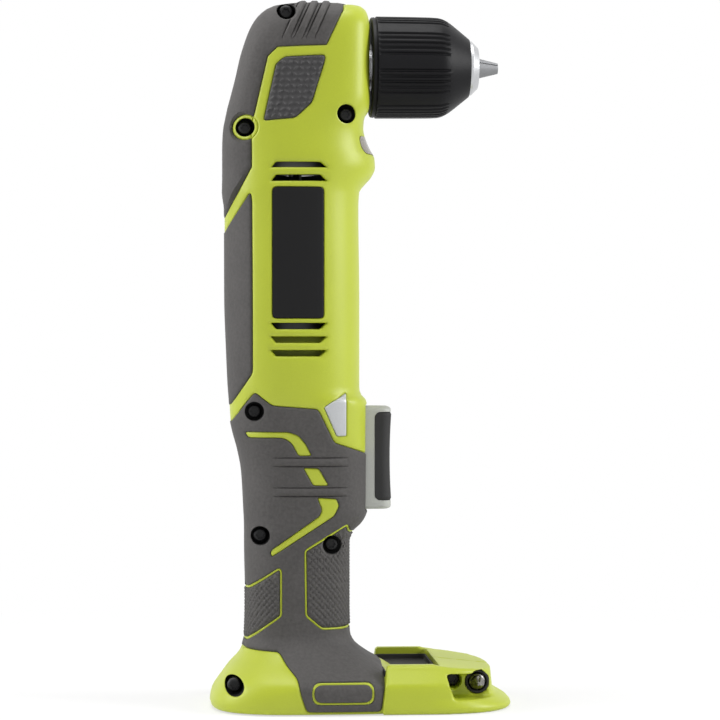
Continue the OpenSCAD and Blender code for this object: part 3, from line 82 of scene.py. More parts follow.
def finish_group(name, cloud_scale, cloud_detail, fine_detail, stretch=None):
    """A cloudy tone with a fine grain, or with the lines that turning leaves where the grain is stretched.

    The colour follows both, and the roughness and the height follow the fine one."""
    cloud_share, fine_share, rough_share = 0.6, 1.4, 0.16
    group = bpy.data.node_groups.new(name, "ShaderNodeTree")
    for way, label, kind in finish_sockets:
        group.interface.new_socket(label, in_out=way, socket_type="NodeSocket" + kind)
    given = group.nodes.new("NodeGroupInput").outputs
    result = group.nodes.new("NodeGroupOutput").inputs
    place = added(group, "TexCoord", {}).outputs["Object"]
    cloud = added(group, "TexNoise", {"Vector": place, "Scale": cloud_scale, "Detail": cloud_detail})
    if stretch:
        place = added(group, "Mapping", {"Vector": place, "Scale": stretch}).outputs["Vector"]
    grain = added(group, "TexNoise", {"Vector": place, "Scale": given["Scale"], "Detail": fine_detail})
    fine = grain.outputs["Fac"]
    broad = added(group, "Math", {0: cloud.outputs["Fac"], 1: cloud_share}, operation="MULTIPLY")
    tone = added(group, "Math", {0: fine, 1: fine_share, 2: broad.outputs["Value"]}, operation="MULTIPLY_ADD")
    tint = added(group, "Mix", {"Factor": given["Spread"], "A": given["Colour"], "B": tone.outputs["Value"]},
                 data_type="RGBA", blend_type="MULTIPLY")
    rough = added(group, "Math", {0: fine, 1: rough_share, 2: given["Roughness"]}, operation="MULTIPLY_ADD")
    for label, value in (("Colour", tint.outputs["Result"]), ("Roughness", rough.outputs["Value"]),
                         ("Height", fine)):
        group.links.new(value, result[label])
    return group


moulded_grain = finish_group("moulded_grain", 70, 3, 2)
turned_along_x = finish_group("turned_along_x", 90, 2, 3, (1, 0.03, 0.03))
turned_along_z = finish_group("turned_along_z", 90, 2, 3, (0.03, 0.03, 1))


def finish(name, colour, roughness, bump, spread=0.12, scale=1500, metallic=0, shine=0.5, group=moulded_grain):
    """A material with one of the finish groups on a plain shader."""
    relief_depth = 0.0003
    material = bpy.data.materials.new(name)
    material.use_nodes = True
    tree = material.node_tree
    shader = tree.nodes["Principled BSDF"]
    shader.inputs["Metallic"].default_value = metallic
    shader.inputs["Specular IOR Level"].default_value = shine
    surface = added(tree, "Group", {"Colour": colour, "Spread": spread, "Roughness": roughness, "Scale": scale},
                    node_tree=group).outputs
    relief = added(tree, "Bump", {"Strength": bump, "Distance": relief_depth, "Height": surface["Height"]})
    for label, value in (("Base Color", surface["Colour"]), ("Roughness", surface["Roughness"]),
                         ("Normal", relief.outputs["Normal"])):
        tree.links.new(value, shader.inputs[label])
    return material


def dress(material, *nodes):
    """Gives frame nodes a material in place of the one they were packed with."""
    for name in nodes:
        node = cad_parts[name]
        node.data.materials.clear()
        node.data.materials.append(material)


# Gear case: cast aluminium grey, darkened as painted shade seen through the upper slots.
dress(finish("cast_gear_case_painted_shade", shade(122, 122, 121), 0.55, 0.25, scale=700, metallic=1),
      "gear_case", "gear_case_plate")
dress(finish("sintered_gear", shade(120, 121, 124), 0.4, 0.15, metallic=1),
      "ring_gear", "sun_gear", "planet_carrier", "planet_gear_1", "planet_gear_2", "planet_gear_3")
dress(finish("cut_bevel_gear", shade(150, 150, 152), 0.3, 0.12, metallic=1), "bevel_gear", "bevel_pinion")
dress(finish("ground_bearing", shade(205, 206, 208), 0.18, 0.06, metallic=1, group=turned_along_x),
      "spindle_bearing", "spindle_bearing_inner", "spindle", "bearing_retainer")
dress(finish("ground_shaft", shade(198, 199, 201), 0.2, 0.06, metallic=1, group=turned_along_z),
      "motor_shaft", "pinion_shaft")
dress(finish("bronze_bush", shade(172, 122, 66), 0.38, 0.15, metallic=1),
      "rear_bush", "pinion_bush", "motor_bushes")
# Motor can: plated steel, darkened as painted shade seen through the lower slots.
dress(finish("motor_can_painted_shade", shade(88, 90, 93), 0.48, 0.1, metallic=1, group=turned_along_z), "motor_can")
dress(finish("ferrite_magnet", shade(52, 50, 50), 0.6, 0.3), "motor_magnets", "motor_brushes")
dress(finish("motor_moulding", shade(58, 58, 60), 0.5, 0.15), "motor_end_cap", "cooling_fan")
dress(finish("armature_steel", shade(96, 97, 100), 0.42, 0.3, metallic=1, group=turned_along_z), "armature")
dress(finish("copper_winding", shade(184, 102, 56), 0.32, 0.5, metallic=1), "armature_windings", "commutator")
dress(finish("switch_moulding", shade(30, 30, 31), 0.45, 0.15), "trigger_switch", "terminal_block")
dress(finish("contact_brass", shade(204, 168, 92), 0.26, 0.08, metallic=1), "terminal_blades")
dress(finish("lead_red", shade(168, 30, 26), 0.42, 0.1), "battery_leads", "motor_leads")
dress(finish("lead_black", shade(24, 24, 25), 0.42, 0.1), "light_leads")
dress(finish("light_board", shade(30, 92, 52), 0.4, 0.1), "light_board")
dress(finish("screw_steel", shade(60, 60, 62), 0.35, 0.1, metallic=1), "retainer_screws", "chuck_screw")

# Housing halves: glass-filled nylon mouldings in lime green, screwed together down the middle plane.
# Each half is one skin laid over the body's sections, cut along the outlines of its pads, slots and holes,
# and given a wall. The skin's two directions are the girth, from the front middle to the back, and the height.
mm = 0.001
tool_h = 293
barrel_d = 56
barrel_w = 53
motor_x = -28.5
wall = 2.4
girth = 88
girth_steps, turn_steps = 440, 1600
cap_l = 13
skin_top = tool_h + cap_l
# Height, back, front and half width in shares of the tool's height, the barrel's depth and half of its width,
# then the roundness of the back and of the front.
section_shares = np.array([
    [0.000, -0.590, 0.890, 1.435, 3.2, 5.0],
    [0.006, -0.614, 0.905, 1.470, 3.2, 5.0],
    [0.020, -0.600, 0.905, 1.480, 3.2, 5.0],
    [0.036, -0.548, 0.880, 1.470, 3.1, 4.8],
    [0.041, -0.530, 0.820, 1.440, 3.0, 4.4],
    [0.060, -0.459, 0.665, 1.200, 2.7, 3.2],
    [0.066, -0.428, 0.608, 1.105, 2.6, 2.9],
    [0.075, -0.391, 0.536, 0.990, 2.6, 2.6],
    [0.089, -0.364, 0.455, 0.850, 2.5, 2.5],
    [0.102, -0.352, 0.427, 0.785, 2.5, 2.5],
    [0.147, -0.346, 0.420, 0.766, 2.5, 2.5],
    [0.232, -0.354, 0.420, 0.774, 2.5, 2.5],
    [0.246, -0.354, 0.448, 0.785, 2.5, 2.6],
    [0.261, -0.355, 0.523, 0.800, 2.5, 2.8],
    [0.275, -0.359, 0.554, 0.811, 2.5, 3.0],
    [0.333, -0.377, 0.555, 0.849, 2.5, 3.0],
    [0.362, -0.405, 0.555, 0.868, 2.5, 3.0],
    [0.389, -0.443, 0.554, 0.906, 2.4, 3.0],
    [0.404, -0.459, 0.554, 0.925, 2.4, 3.0],
    [0.432, -0.468, 0.554, 0.951, 2.3, 3.0],
    [0.440, -0.471, 0.518, 0.958, 2.3, 2.6],
    [0.449, -0.475, 0.502, 0.966, 2.3, 2.4],
    [0.505, -0.489, 0.502, 0.992, 2.3, 2.4],
    [0.577, -0.502, 0.502, 1.000, 2.3, 2.4],
    [0.706, -0.505, 0.495, 1.000, 2.3, 2.4],
    [0.730, -0.520, 0.502, 1.004, 2.3, 2.4],
    [0.741, -0.519, 0.545, 1.004, 2.3, 2.3],
    [0.751, -0.518, 0.591, 1.008, 2.3, 2.2],
    [0.765, -0.518, 0.621, 1.008, 2.3, 2.2],
    [0.778, -0.518, 0.616, 1.008, 2.3, 2.2],
    [0.792, -0.518, 0.577, 1.004, 2.3, 2.3],
    [0.805, -0.516, 0.548, 0.996, 2.3, 2.5],
    [0.819, -0.511, 0.530, 0.989, 2.4, 2.8],
    [0.834, -0.496, 0.534, 0.981, 2.5, 3.4],
    [0.845, -0.484, 0.566, 0.974, 2.6, 4.0],
    [0.863, -0.459, 0.570, 0.966, 2.7, 4.5],
    [0.891, -0.421, 0.570, 0.955, 2.8, 4.5],
    [0.922, -0.384, 0.570, 0.943, 2.8, 4.5],
    [0.949, -0.339, 0.570, 0.921, 2.8, 4.5],
    [0.964, -0.307, 0.570, 0.891, 2.8, 4.5],
    [0.978, -0.264, 0.563, 0.838, 2.8, 4.0],
    [0.990, -0.205, 0.545, 0.705, 2.8, 3.8],
    [0.997, -0.143, 0.515, 0.570, 2.8, 3.4],
    [1.000, -0.080, 0.460, 0.430, 2.8, 3.0]])
levels = np.arange(tool_h + 1.0)
top_from, top_drop = 276, 1.4


def smooth_through(heights, values, at):
    """A curve through given values that never overshoots them."""
    step = np.diff(heights)
    slope = np.diff(values) / step
    tangent = np.zeros(len(values))
    before, after = slope[:-1], slope[1:]
    same_way = before * after > 0
    low, high = 2 * step[1:] + step[:-1], step[1:] + 2 * step[:-1]
    safe_before = np.where(same_way, before, 1)
    safe_after = np.where(same_way, after, 1)
    tangent[1:-1] = np.where(same_way, (low + high) / (low / safe_before + high / safe_after), 0)
    i = np.clip(np.searchsorted(heights, at) - 1, 0, len(step) - 1)
    t = (at - heights[i]) / step[i]
    rise = t * t * (3 - 2 * t)
    return (values[i] * (1 - rise) + values[i + 1] * rise
            + step[i] * (tangent[i] * t * (1 - t) ** 2 - tangent[i + 1] * t * t * (1 - t)))


def laid_sections():
    """The body's half sections at each level, with points spread evenly round the girth."""
    back, front, half, back_round, front_round = (
        smooth_through(section_shares[:, 0] * tool_h, section_shares[:, k], levels) for k in range(1, 6))
    turn = np.linspace(0, np.pi, turn_steps + 1)
    even = np.linspace(0, 1, girth_steps + 1)
    xs, ys = [], []
    for b, f, h, rb, rf in zip(back, front, half, back_round, front_round):
        power = 2 / np.where(np.cos(turn) < 0, rb, rf)
        x = (f + b) / 2 + (f - b) / 2 * np.sign(np.cos(turn)) * np.abs(np.cos(turn)) ** power
        x = motor_x + x * barrel_d
        y = h * barrel_w / 2 * np.abs(np.sin(turn)) ** power
        y[[0, -1]] = 0
        run = np.concatenate([[0], np.cumsum(np.hypot(np.diff(x), np.diff(y)))])
        xs.append(np.interp(even, run / run[-1], x))
        ys.append(np.interp(even, run / run[-1], y))
    return np.array(xs), np.array(ys)


section_x, section_y = laid_sections()
girth_marks = np.linspace(0, girth, girth_steps + 1)


def settled(level):
    """Heights of the sections, with the head's top let down a little."""
    return level - top_drop * np.clip((level - top_from) / (tool_h - top_from), 0, 1) ** 2


def skin_points(a, v):
    """Places on the body's skin, on the -Y side, for girths a and heights v."""
    level = np.clip(v, 0, tool_h)
    i = np.clip(level.astype(int), 0, tool_h - 1)
    f = level - i
    along = np.clip(a / girth, 0, 1) * girth_steps
    j = np.clip(along.astype(int), 0, girth_steps - 1)
    g = along - j

    def between(table):
        return ((table[i, j] * (1 - g) + table[i, j + 1] * g) * (1 - f)
                + (table[i + 1, j] * (1 - g) + table[i + 1, j + 1] * g) * f)

    shrink = 1 - np.clip((v - tool_h) / cap_l, 0, 1)
    middle = (section_x[-1, 0] + section_x[-1, -1]) / 2
    x = middle + (between(section_x) - middle) * shrink
    return np.stack([x, -between(section_y) * shrink, settled(level)], 1)


def skin_normals(a, v):
    """Directions out of the skin, and straight up over the inner part of the top."""
    reach, top_share = 0.3, 0.6
    round_way = skin_points(np.minimum(a + reach, girth), v) - skin_points(np.maximum(a - reach, 0), v)
    middle = (a < 1e-6) | (a > girth - 1e-6)
    round_way[middle] = np.where(a[middle, None] < 1, [0, -1, 0], [0, 1, 0])
    up_way = skin_points(a, np.minimum(v + reach, skin_top)) - skin_points(a, np.maximum(v - reach, 0))
    out = np.cross(up_way, round_way)
    out[v > skin_top - cap_l * top_share] = [0, 0, 1]
    return out / np.maximum(np.linalg.norm(out, axis=1, keepdims=True), 1e-9)


def on_side(shares):
    """Side outline points in millimetres, from shares of the barrel's depth and the tool's height."""
    return [(motor_x + x * barrel_d, z * tool_h) for x, z in shares]


def rounded(points, reach):
    """A closed outline with its corners rounded off."""
    out = []
    for k, corner in enumerate(points):
        corner = np.array(corner, float)
        ends = []
        for other in (points[k - 1], points[(k + 1) % len(points)]):
            way = np.array(other) - corner
            length = np.linalg.norm(way)
            ends.append(corner + way / length * min(reach, length * 0.45))
        for t in (0, 0.25, 0.5, 0.75, 1):
            out.append(ends[0] * (1 - t) ** 2 + 2 * corner * t * (1 - t) + ends[1] * t * t)
    return out


def filled(points, step, closed=True):
    """A line of points with none further apart than a step."""
    points = [np.array(p, float) for p in points]
    ends = points[1:] + points[:1] if closed else points[1:]
    out = []
    for start, end in zip(points, ends):
        count = max(1, math.ceil(np.linalg.norm(end - start) / step))
        out += [start + (end - start) * k / count for k in range(count)]
    return np.array(out if closed else out + [points[-1]])


def to_skin(points):
    """Girth and height of side outline points, held to the front or back middle where they pass it."""
    out = []
    for x, z in points:
        level = np.interp(z, settled(levels), levels)
        i = min(int(level), tool_h - 1)
        row = section_x[i] + (section_x[i + 1] - section_x[i]) * (level - i)
        out.append((np.interp(-x, -row, girth_marks), level))
    return np.array(out)


def front_girth(y, z):
    """Girth of a point of the front at a distance from the middle plane."""
    row = section_y[min(max(int(round(z)), 0), tool_h)]
    rise = np.argmax(row)
    return np.interp(y, row[:rise], girth_marks[:rise])


def ring_points(x, z, r, count=28):
    return [(x + r * math.cos(2 * math.pi * k / count), z + r * math.sin(2 * math.pi * k / count))
            for k in range(count)]


def shrunk(points, gap):
    """An outline drawn in by a gap, with its corners kept."""
    points = [np.array(p, float) for p in points]
    area = sum(p[0] * q[1] - p[1] * q[0] for p, q in zip(points, points[1:] + points[:1]))
    out = []
    for k, corner in enumerate(points):
        ways = [corner - points[k - 1], points[(k + 1) % len(points)] - corner]
        sides = [np.array([-w[1], w[0]]) / np.linalg.norm(w) * (1 if area > 0 else -1) for w in ways]
        bisector = sides[0] + sides[1]
        out.append(corner + bisector * gap / max(0.3, 1 + sides[0] @ sides[1]))
    return out


bumper_shares = [(0.372, 1.0), (0.362, 0.983), (0.234, 0.931), (-0.126, 0.928), (-0.198, 0.915),
                 (-0.301, 0.830), (-0.316, 0.800), (-0.316, 0.760), (-0.495, 0.697), (-0.60, 0.660)]
head_pad_shares = [(-0.077, 0.914), (0.221, 0.917), (0.226, 0.911), (0.128, 0.850), (0.005, 0.828),
                   (-0.231, 0.824), (-0.138, 0.904)]
spine_shares = [(-0.326, 0.725), (-0.314, 0.715), (-0.310, 0.588), (-0.308, 0.472), (-0.455, 0.430),
                (-0.60, 0.388), (-0.60, 0.637), (-0.488, 0.678)]
grip_shares = [(-0.294, 0.445), (-0.163, 0.426), (0.174, 0.421), (0.295, 0.374), (0.506, 0.361), (0.70, 0.345),
               (0.70, 0.075), (0.668, 0.064), (0.619, 0.004), (0.081, 0.004), (0.0375, 0.027), (0.016, 0.050),
               (-0.0625, 0.067), (-0.112, 0.083), (-0.373, 0.0845), (-0.70, 0.085), (-0.70, 0.335),
               (-0.462, 0.403)]
stripe_shares = [
    [(-0.360, 0.389), (-0.042, 0.389), (0.030, 0.384), (0.080, 0.373), (0.127, 0.356), (0.030, 0.356),
     (-0.018, 0.373), (-0.060, 0.379), (-0.102, 0.381), (-0.337, 0.381)],
    [(0.066, 0.339), (0.180, 0.338), (0.253, 0.314), (0.139, 0.314)],
    [(0.169, 0.297), (0.313, 0.295), (0.332, 0.285), (0.295, 0.271), (-0.163, 0.214), (-0.174, 0.219),
     (-0.163, 0.224), (0.187, 0.271), (0.205, 0.280)]]
field_shares = [
    [(-0.60, 0.168), (-0.346, 0.169), (-0.112, 0.199), (-0.088, 0.195), (-0.088, 0.1305), (-0.346, 0.094),
     (-0.60, 0.0935)],
    [(0.60, 0.246), (0.420, 0.248), (0.397, 0.260), (0.081, 0.224), (0.075, 0.220), (0.081, 0.1305),
     (0.202, 0.1112), (0.383, 0.1105), (0.60, 0.110)]]
badge_frame = [(-21.9, 4.4), (3.2, 4.4), (3.2, 13.2), (-21.9, 13.2)]
plate_shares = [(-0.165, 0.732), (0.217, 0.732), (0.217, 0.548), (-0.165, 0.548)]
selector_shares = [(0.385, 0.445), (0.216, 0.424), (0.312, 0.383), (0.385, 0.383)]
slot_short_shares = (-0.142, 0.193)
slot_long_shares = (-0.18, 0.244)
slot_height_shares = [(0.767, 0.759), (0.749, 0.740), (0.533, 0.542), (0.514, 0.523), (0.495, 0.504)]
screw_places = on_side([(-0.056, 0.980), (-0.358, 0.816), (0.381, 0.835), (-0.289, 0.418), (-0.244, 0.243),
                        (0.281, 0.230), (-0.439, 0.037)])
ringed_screw = screw_places[1]
screw_hole_r, screw_ring_r, bore_run, least_slope = 3.9, 5.2, 2.8, 0.3
field_line_w = 0.8
foot_joint = [(10.5, -1), (10.5, 12.2), (60, 12.2), (60, -1)]
trigger_window_half = 10.8
trigger_window = (81.2, 124.8)
lens_low, lens_high, lens_half, lens_corner = 229.2, 236.4, 15.5, 2.6
spindle_z, spindle_hole_r = 266.4, 9.6
bumper_front = 0.26
# Roundness of the outlines' corners, the steps along them, and the depth and reach of the grooves beside them.
pad_corner, tread_corner, stripe_corner, field_corner = 1.6, 1.5, 1.0, 1.4
badge_corner, plate_corner, selector_corner, slot_corner = 3.5, 2.0, 0.7, 0.6
top_step, outline_step, short_step = 0.8, 0.7, 0.6
pad_groove, tread_groove, stripe_groove, line_groove = (0.7, 1.2), (0.5, 1.0), (0.55, 0.9), (0.25, 0.4)
plate_groove, selector_groove, slot_groove = (0.45, 0.6), (0.5, 0.8), (0.8, 1.5)
ring_groove, screw_groove, joint_groove = (0.5, 0.8), (0.2, 0.4), (0, 0.5)
trigger_groove, lens_groove, spindle_groove = (0.35, 0.8), (0.4, 0.7), (0.35, 0.7)
seam_groove, rim_groove = (0.16, 0.5), (0.6, 1.4)


def skin_outlines(screwed):
    """Closed outlines on the skin: what is inside, the loop, and the depth and reach of the groove along it."""
    found = []

    def add(kind, loop, groove):
        found.append((kind, np.array(loop), *groove))

    def side_loop(corners, corner, step=outline_step):
        return to_skin(filled(rounded(corners, corner), step))

    bumper = to_skin(filled(on_side(bumper_shares), outline_step, closed=False))
    over_top = [(girth, skin_top), (0, skin_top), (0, tool_h + cap_l * bumper_front)]
    add("bumper", filled(list(bumper) + over_top, top_step), pad_groove)
    add("spine", side_loop(on_side(spine_shares), pad_corner), pad_groove)
    add("head_pad", side_loop(on_side(head_pad_shares), tread_corner), tread_groove)
    add("grip", side_loop(on_side(grip_shares), pad_corner), pad_groove)
    for shares in stripe_shares:
        add("shell", side_loop(on_side(shares), stripe_corner, short_step), stripe_groove)
    for shares in field_shares:
        corners = rounded(on_side(shares), field_corner)
        add("line", to_skin(filled(corners, outline_step)), line_groove)
        add("field", to_skin(filled(shrunk(corners, field_line_w), outline_step)), line_groove)
    for gap, kind in ((0, "line"), (field_line_w, "grip")):
        add(kind, side_loop(shrunk(badge_frame, gap), badge_corner), line_groove)
    add("plate", side_loop(on_side(plate_shares), plate_corner), plate_groove)
    add("selector", side_loop(on_side(selector_shares), selector_corner, short_step), selector_groove)
    for high, low in slot_height_shares:
        corners = on_side([(slot_short_shares[0], high), (slot_short_shares[1], high),
                           (slot_long_shares[1], low), (slot_long_shares[0], low)])
        add("hole", side_loop(corners, slot_corner), slot_groove)
    if screwed:
        add("shell", to_skin(ring_points(*ringed_screw, screw_ring_r)), ring_groove)
        for place in screw_places:
            add("hole", to_skin(ring_points(*place, screw_hole_r, 36)), screw_groove)
    add("hole", to_skin(filled(foot_joint, outline_step)), joint_groove)
    low, high = trigger_window
    edge = [(front_girth(trigger_window_half, z), z) for z in np.linspace(low, high, 50)]
    add("hole", filled([(0, low)] + edge + [(0, high)], outline_step), trigger_groove)
    end = front_girth(lens_half, (lens_low + lens_high) / 2)
    lens = rounded([(-end, lens_low), (end, lens_low), (end, lens_high), (-end, lens_high)], lens_corner)
    add("lens", filled(lens, outline_step).clip(min=(0, 0)), lens_groove)
    rim = [(front_girth(spindle_hole_r * math.sin(t), spindle_z), spindle_z + spindle_hole_r * math.cos(t))
           for t in np.linspace(0, np.pi, 15)]
    add("hole", filled(rim, outline_step), spindle_groove)
    return found


def inside(loop, points):
    """Which points lie inside a closed loop."""
    low, high = loop.min(0), loop.max(0)
    near = np.flatnonzero(((points >= low) & (points <= high)).all(1))
    hit = np.zeros(len(near), bool)
    px, py = points[near].T
    for (x0, y0), (x1, y1) in zip(loop, np.roll(loop, -1, 0)):
        if y0 != y1:
            crosses = (y0 > py) != (y1 > py)
            hit ^= crosses & (px < (x1 - x0) * (py - y0) / (y1 - y0) + x0)
    out = np.zeros(len(points), bool)
    out[near] = hit
    return out


def kinds_at(outlines, points):
    kinds = np.full(len(points), "shell", dtype=object)
    for kind, loop, _, _ in outlines:
        kinds[inside(loop, points)] = kind
    return kinds


def lattice(step, low, high):
    """Points in staggered rows over a rectangle."""
    rise = step * math.sqrt(3) / 2
    rows = []
    for k, v in enumerate(np.arange(low[1] + rise / 2, high[1], rise)):
        across = np.arange(low[0] + step * (0.25 + 0.5 * (k % 2)), high[0], step)
        rows.append(np.stack([across, np.full(len(across), v)], 1))
    return np.concatenate(rows)


rib_x, rib_z, rib_lean, rib_low, rib_half = -24.4, 292, 0.45, 277, 1.75
rib_offsets = (0, 4.9, 9.8)
rib_edge, rib_run = 0.6, 2.5
finger_heights = ((99.9, 103.4), (87.6, 91.1))
finger_from, finger_to, finger_edge = -36.5, -7.0, 0.5
crease_step, crease_reach, crease_clear = 0.5, 0.6, 0.5


def rib_height(places, height=0.75):
    """The three ribs over the head's bumper: they lean with its back and run right over the top."""
    lean = places[:, 0] - (rib_x + (places[:, 2] - rib_z) * rib_lean)
    rise = sum(np.clip((rib_half - np.abs(lean - offset)) / rib_edge, 0, 1) for offset in rib_offsets)
    return height * rise * np.clip((places[:, 2] - rib_low) / rib_run, 0, 1)


def band_share(heights):
    """One on the two finger bands round the grip, none off them, with a short slope between."""
    share = np.zeros(len(heights))
    for low, high in finger_heights:
        reach = (high - low) / 2 + finger_edge / 2
        share = np.maximum(share, np.clip((reach - np.abs(heights - (low + high) / 2)) / finger_edge, 0, 1))
    return share


def crease_lines():
    """Fine lines pressed into the rubber: along the ribs' edges, and above and below the finger bands."""
    rib_stops, rib_depths = (rib_low - 1, rib_low + 1, rib_low + 3, tool_h - 1), (0.15, 0.3, 0.5)
    band_stops = (finger_from, finger_from + 2, finger_from + 4.5, finger_to - 4.5, finger_to - 2, finger_to)
    band_depths = (0.1, 0.2, 0.32, 0.2, 0.1)
    lines = []
    for offset in rib_offsets:
        for edge in (-rib_half, rib_half):
            for start, end, depth in zip(rib_stops, rib_stops[1:], rib_depths):
                lines.append((to_skin([(rib_x + offset + edge + (z - rib_z) * rib_lean, z)
                                       for z in np.linspace(start, end, 25)]), depth))
    for z in sum(finger_heights, ()):
        for start, end, depth in zip(band_stops, band_stops[1:], band_depths):
            lines.append((to_skin([(x, z) for x in np.linspace(start, end, 30)]), depth))
    return [(filled(line, crease_step, closed=False), depth) for line, depth in lines]


# Rows of points beside each outline, and the steps of the points between: wide where the skin is plain, and
# fine on the textured pads, the ribs and the edges of the finger bands. Each keeps a gap to the outlines.
beside_gaps = (0.28, 0.62, 1.1)
textured = ["field", "head_pad"]
wide_step, wide_gap = 2.0, 1.3
fine_step, fine_gap = 0.65, 0.42
rib_step, band_step, relief_gap = 0.6, 0.55, 1.2
rib_girth, band_from, band_to = 20, 84, 107


class Skin:
    """One half's skin: its triangles with the kind of piece each belongs to, and the groove at each point.

    Its layers go in square to the skin, but straight across the tool at the screws, and straight back at the
    trigger."""

    def __init__(self, side):
        slack, groove_step = 0.1, 0.2
        self.side = side
        outlines = skin_outlines(side < 0)
        creases = crease_lines()
        grooves = [(loop[(loop[:, 0] > slack / 2) & (loop[:, 0] < girth - slack / 2)], depth, reach)
                   for _, loop, depth, reach in outlines]
        grooves += [(line, depth, crease_reach) for line, depth in creases]
        rail = np.arange(0, skin_top + 0.5, 1.0)
        for a in (0, girth):
            grooves.append((np.stack([np.full(len(rail), a), rail], 1), *seam_groove))
        foot_rim = np.stack([np.arange(0, girth + 0.5, 1.0), np.zeros(girth + 1)], 1)
        grooves.append((foot_rim, *rim_groove))
        self.lines = [(filled(loop, groove_step, closed=False), depth, reach)
                      for loop, depth, reach in grooves if len(loop)]
        tree = kdtree.KDTree(sum(len(line) for line, _, _ in self.lines))
        owner = []
        for k, (line, _, _) in enumerate(self.lines):
            for p in line:
                tree.insert((p[0], p[1], 0), len(owner))
                owner.append(k)
        tree.balance()
        self.tree, self.owner = tree, np.array(owner)
        points, edges = self.layout(outlines, [line for line, _ in creases])
        flat, _, faces, _, _, _ = delaunay_2d_cdt([Vector(p) for p in points], edges, [], 0, 1e-4, False)
        self.flat = np.array([(p.x, p.y) for p in flat])
        self.flat[:, 0] = np.clip(self.flat[:, 0], 0, girth)
        faces = np.array(faces)
        self.base = skin_points(*self.flat.T)
        self.out = skin_normals(*self.flat.T)
        self.draw = self.out.copy()
        low, high = trigger_window
        pulled = (self.flat[:, 1] > low - slack) & (self.flat[:, 1] < high + slack)
        pulled &= (self.flat[:, 0] < girth / 3) & (self.base[:, 1] > -trigger_window_half - slack)
        self.draw[pulled] = np.array([1, 0, 0]) / np.clip(self.out[pulled, :1], least_slope, 1)
        if side < 0:
            across = np.array([0, -1, 0]) / np.clip(-self.out[:, 1:2], least_slope, 1)
            for x, z in screw_places:
                off = np.hypot(self.base[:, 0] - x, self.base[:, 2] - z) - screw_hole_r - slack
                self.draw += (across - self.draw) * np.clip(1 - off[:, None] / bore_run, 0, 1)
        self.gap, self.line = self.groove_at(self.flat)
        corners = self.flat[faces]
        turn = np.cross(corners[:, 1] - corners[:, 0], corners[:, 2] - corners[:, 0])
        faces[turn > 0] = faces[turn > 0][:, ::-1]
        faces = faces[np.abs(turn) > 1e-7]
        self.faces = faces
        self.kinds = kinds_at(outlines, self.flat[faces].mean(1))

    def groove_at(self, points):
        found = [self.tree.find((p[0], p[1], 0)) for p in points]
        return np.array([f[2] for f in found]), self.owner[[f[1] for f in found]]

    def layout(self, outlines, creases):
        """Points and fixed edges to triangulate: the outlines, rows beside them, and a lattice between."""
        least_edge, most_edge, near_share = 0.2, (girth - 0.2, skin_top - 0.5), 0.8
        points, edges = [], []
        border = filled([(0, 0), (girth, 0), (girth, skin_top), (0, skin_top)], 1.0)
        loops = [border] + [loop for _, loop, _, _ in outlines]
        for loop in loops:
            start = len(points)
            points += list(loop)
            edges += [(start + k, start + (k + 1) % len(loop)) for k in range(len(loop))]
        for line in creases:
            points += [p for p in line if all(np.hypot(*(loop - p).T).min() > crease_clear for loop in loops)]
        beside = []
        ways = [np.roll(loop, -1, 0) - np.roll(loop, 1, 0) for loop in loops]
        ways += [np.gradient(line, axis=0) for line in creases]
        for line, way in zip(loops + creases, ways):
            across = np.stack([-way[:, 1], way[:, 0]], 1)
            across = across / np.maximum(np.linalg.norm(way, axis=1), 1e-6)[:, None]
            for gap in beside_gaps:
                for side in (-1, 1):
                    row = line + across * gap * side
                    keep = (row > least_edge).all(1) & (row < most_edge).all(1)
                    beside.append(row[keep & (self.groove_at(row)[0] > near_share * gap)])

        def on_rib(cloud, least=0.02):
            return rib_height(skin_points(*cloud.T)) > least

        wide = lattice(wide_step, (0, 0), (girth, skin_top))
        wide = wide[~np.isin(kinds_at(outlines, wide), textured) & ~on_rib(wide)]
        fine = lattice(fine_step, (0, 0), (girth, tool_h))
        fine = fine[np.isin(kinds_at(outlines, fine), textured)]
        ribbed = lattice(rib_step, (rib_girth, rib_low - 1), (girth, skin_top - 2))
        ribbed = ribbed[on_rib(ribbed)]
        banded = lattice(band_step, (0, band_from), (girth, band_to))
        sloping = np.abs(band_share(banded[:, 1]) - 0.5) < 0.499
        banded = banded[(kinds_at(outlines, banded) == "grip") & sloping]
        points += list(np.concatenate(beside))
        for cloud, gap in ((wide, wide_gap), (fine, fine_gap), (ribbed, relief_gap), (banded, relief_gap)):
            points += list(cloud[self.groove_at(cloud)[0] > gap])
        return points, edges

    def mirrored(self, points):
        return points * np.array([1, self.side * -1, 1])

    def heights(self, proud):
        """Height of the surface over the skin: proud of it, and down in the groove along the outlines."""
        depth = np.array([line[1] for line in self.lines])[self.line]
        reach = np.array([line[2] for line in self.lines])[self.line]
        t = np.clip(self.gap / reach, 0, 1)
        rise = np.sqrt(np.clip(1 - (1 - t) ** 2, 0, 1))
        return proud * rise - depth * (1 - rise)

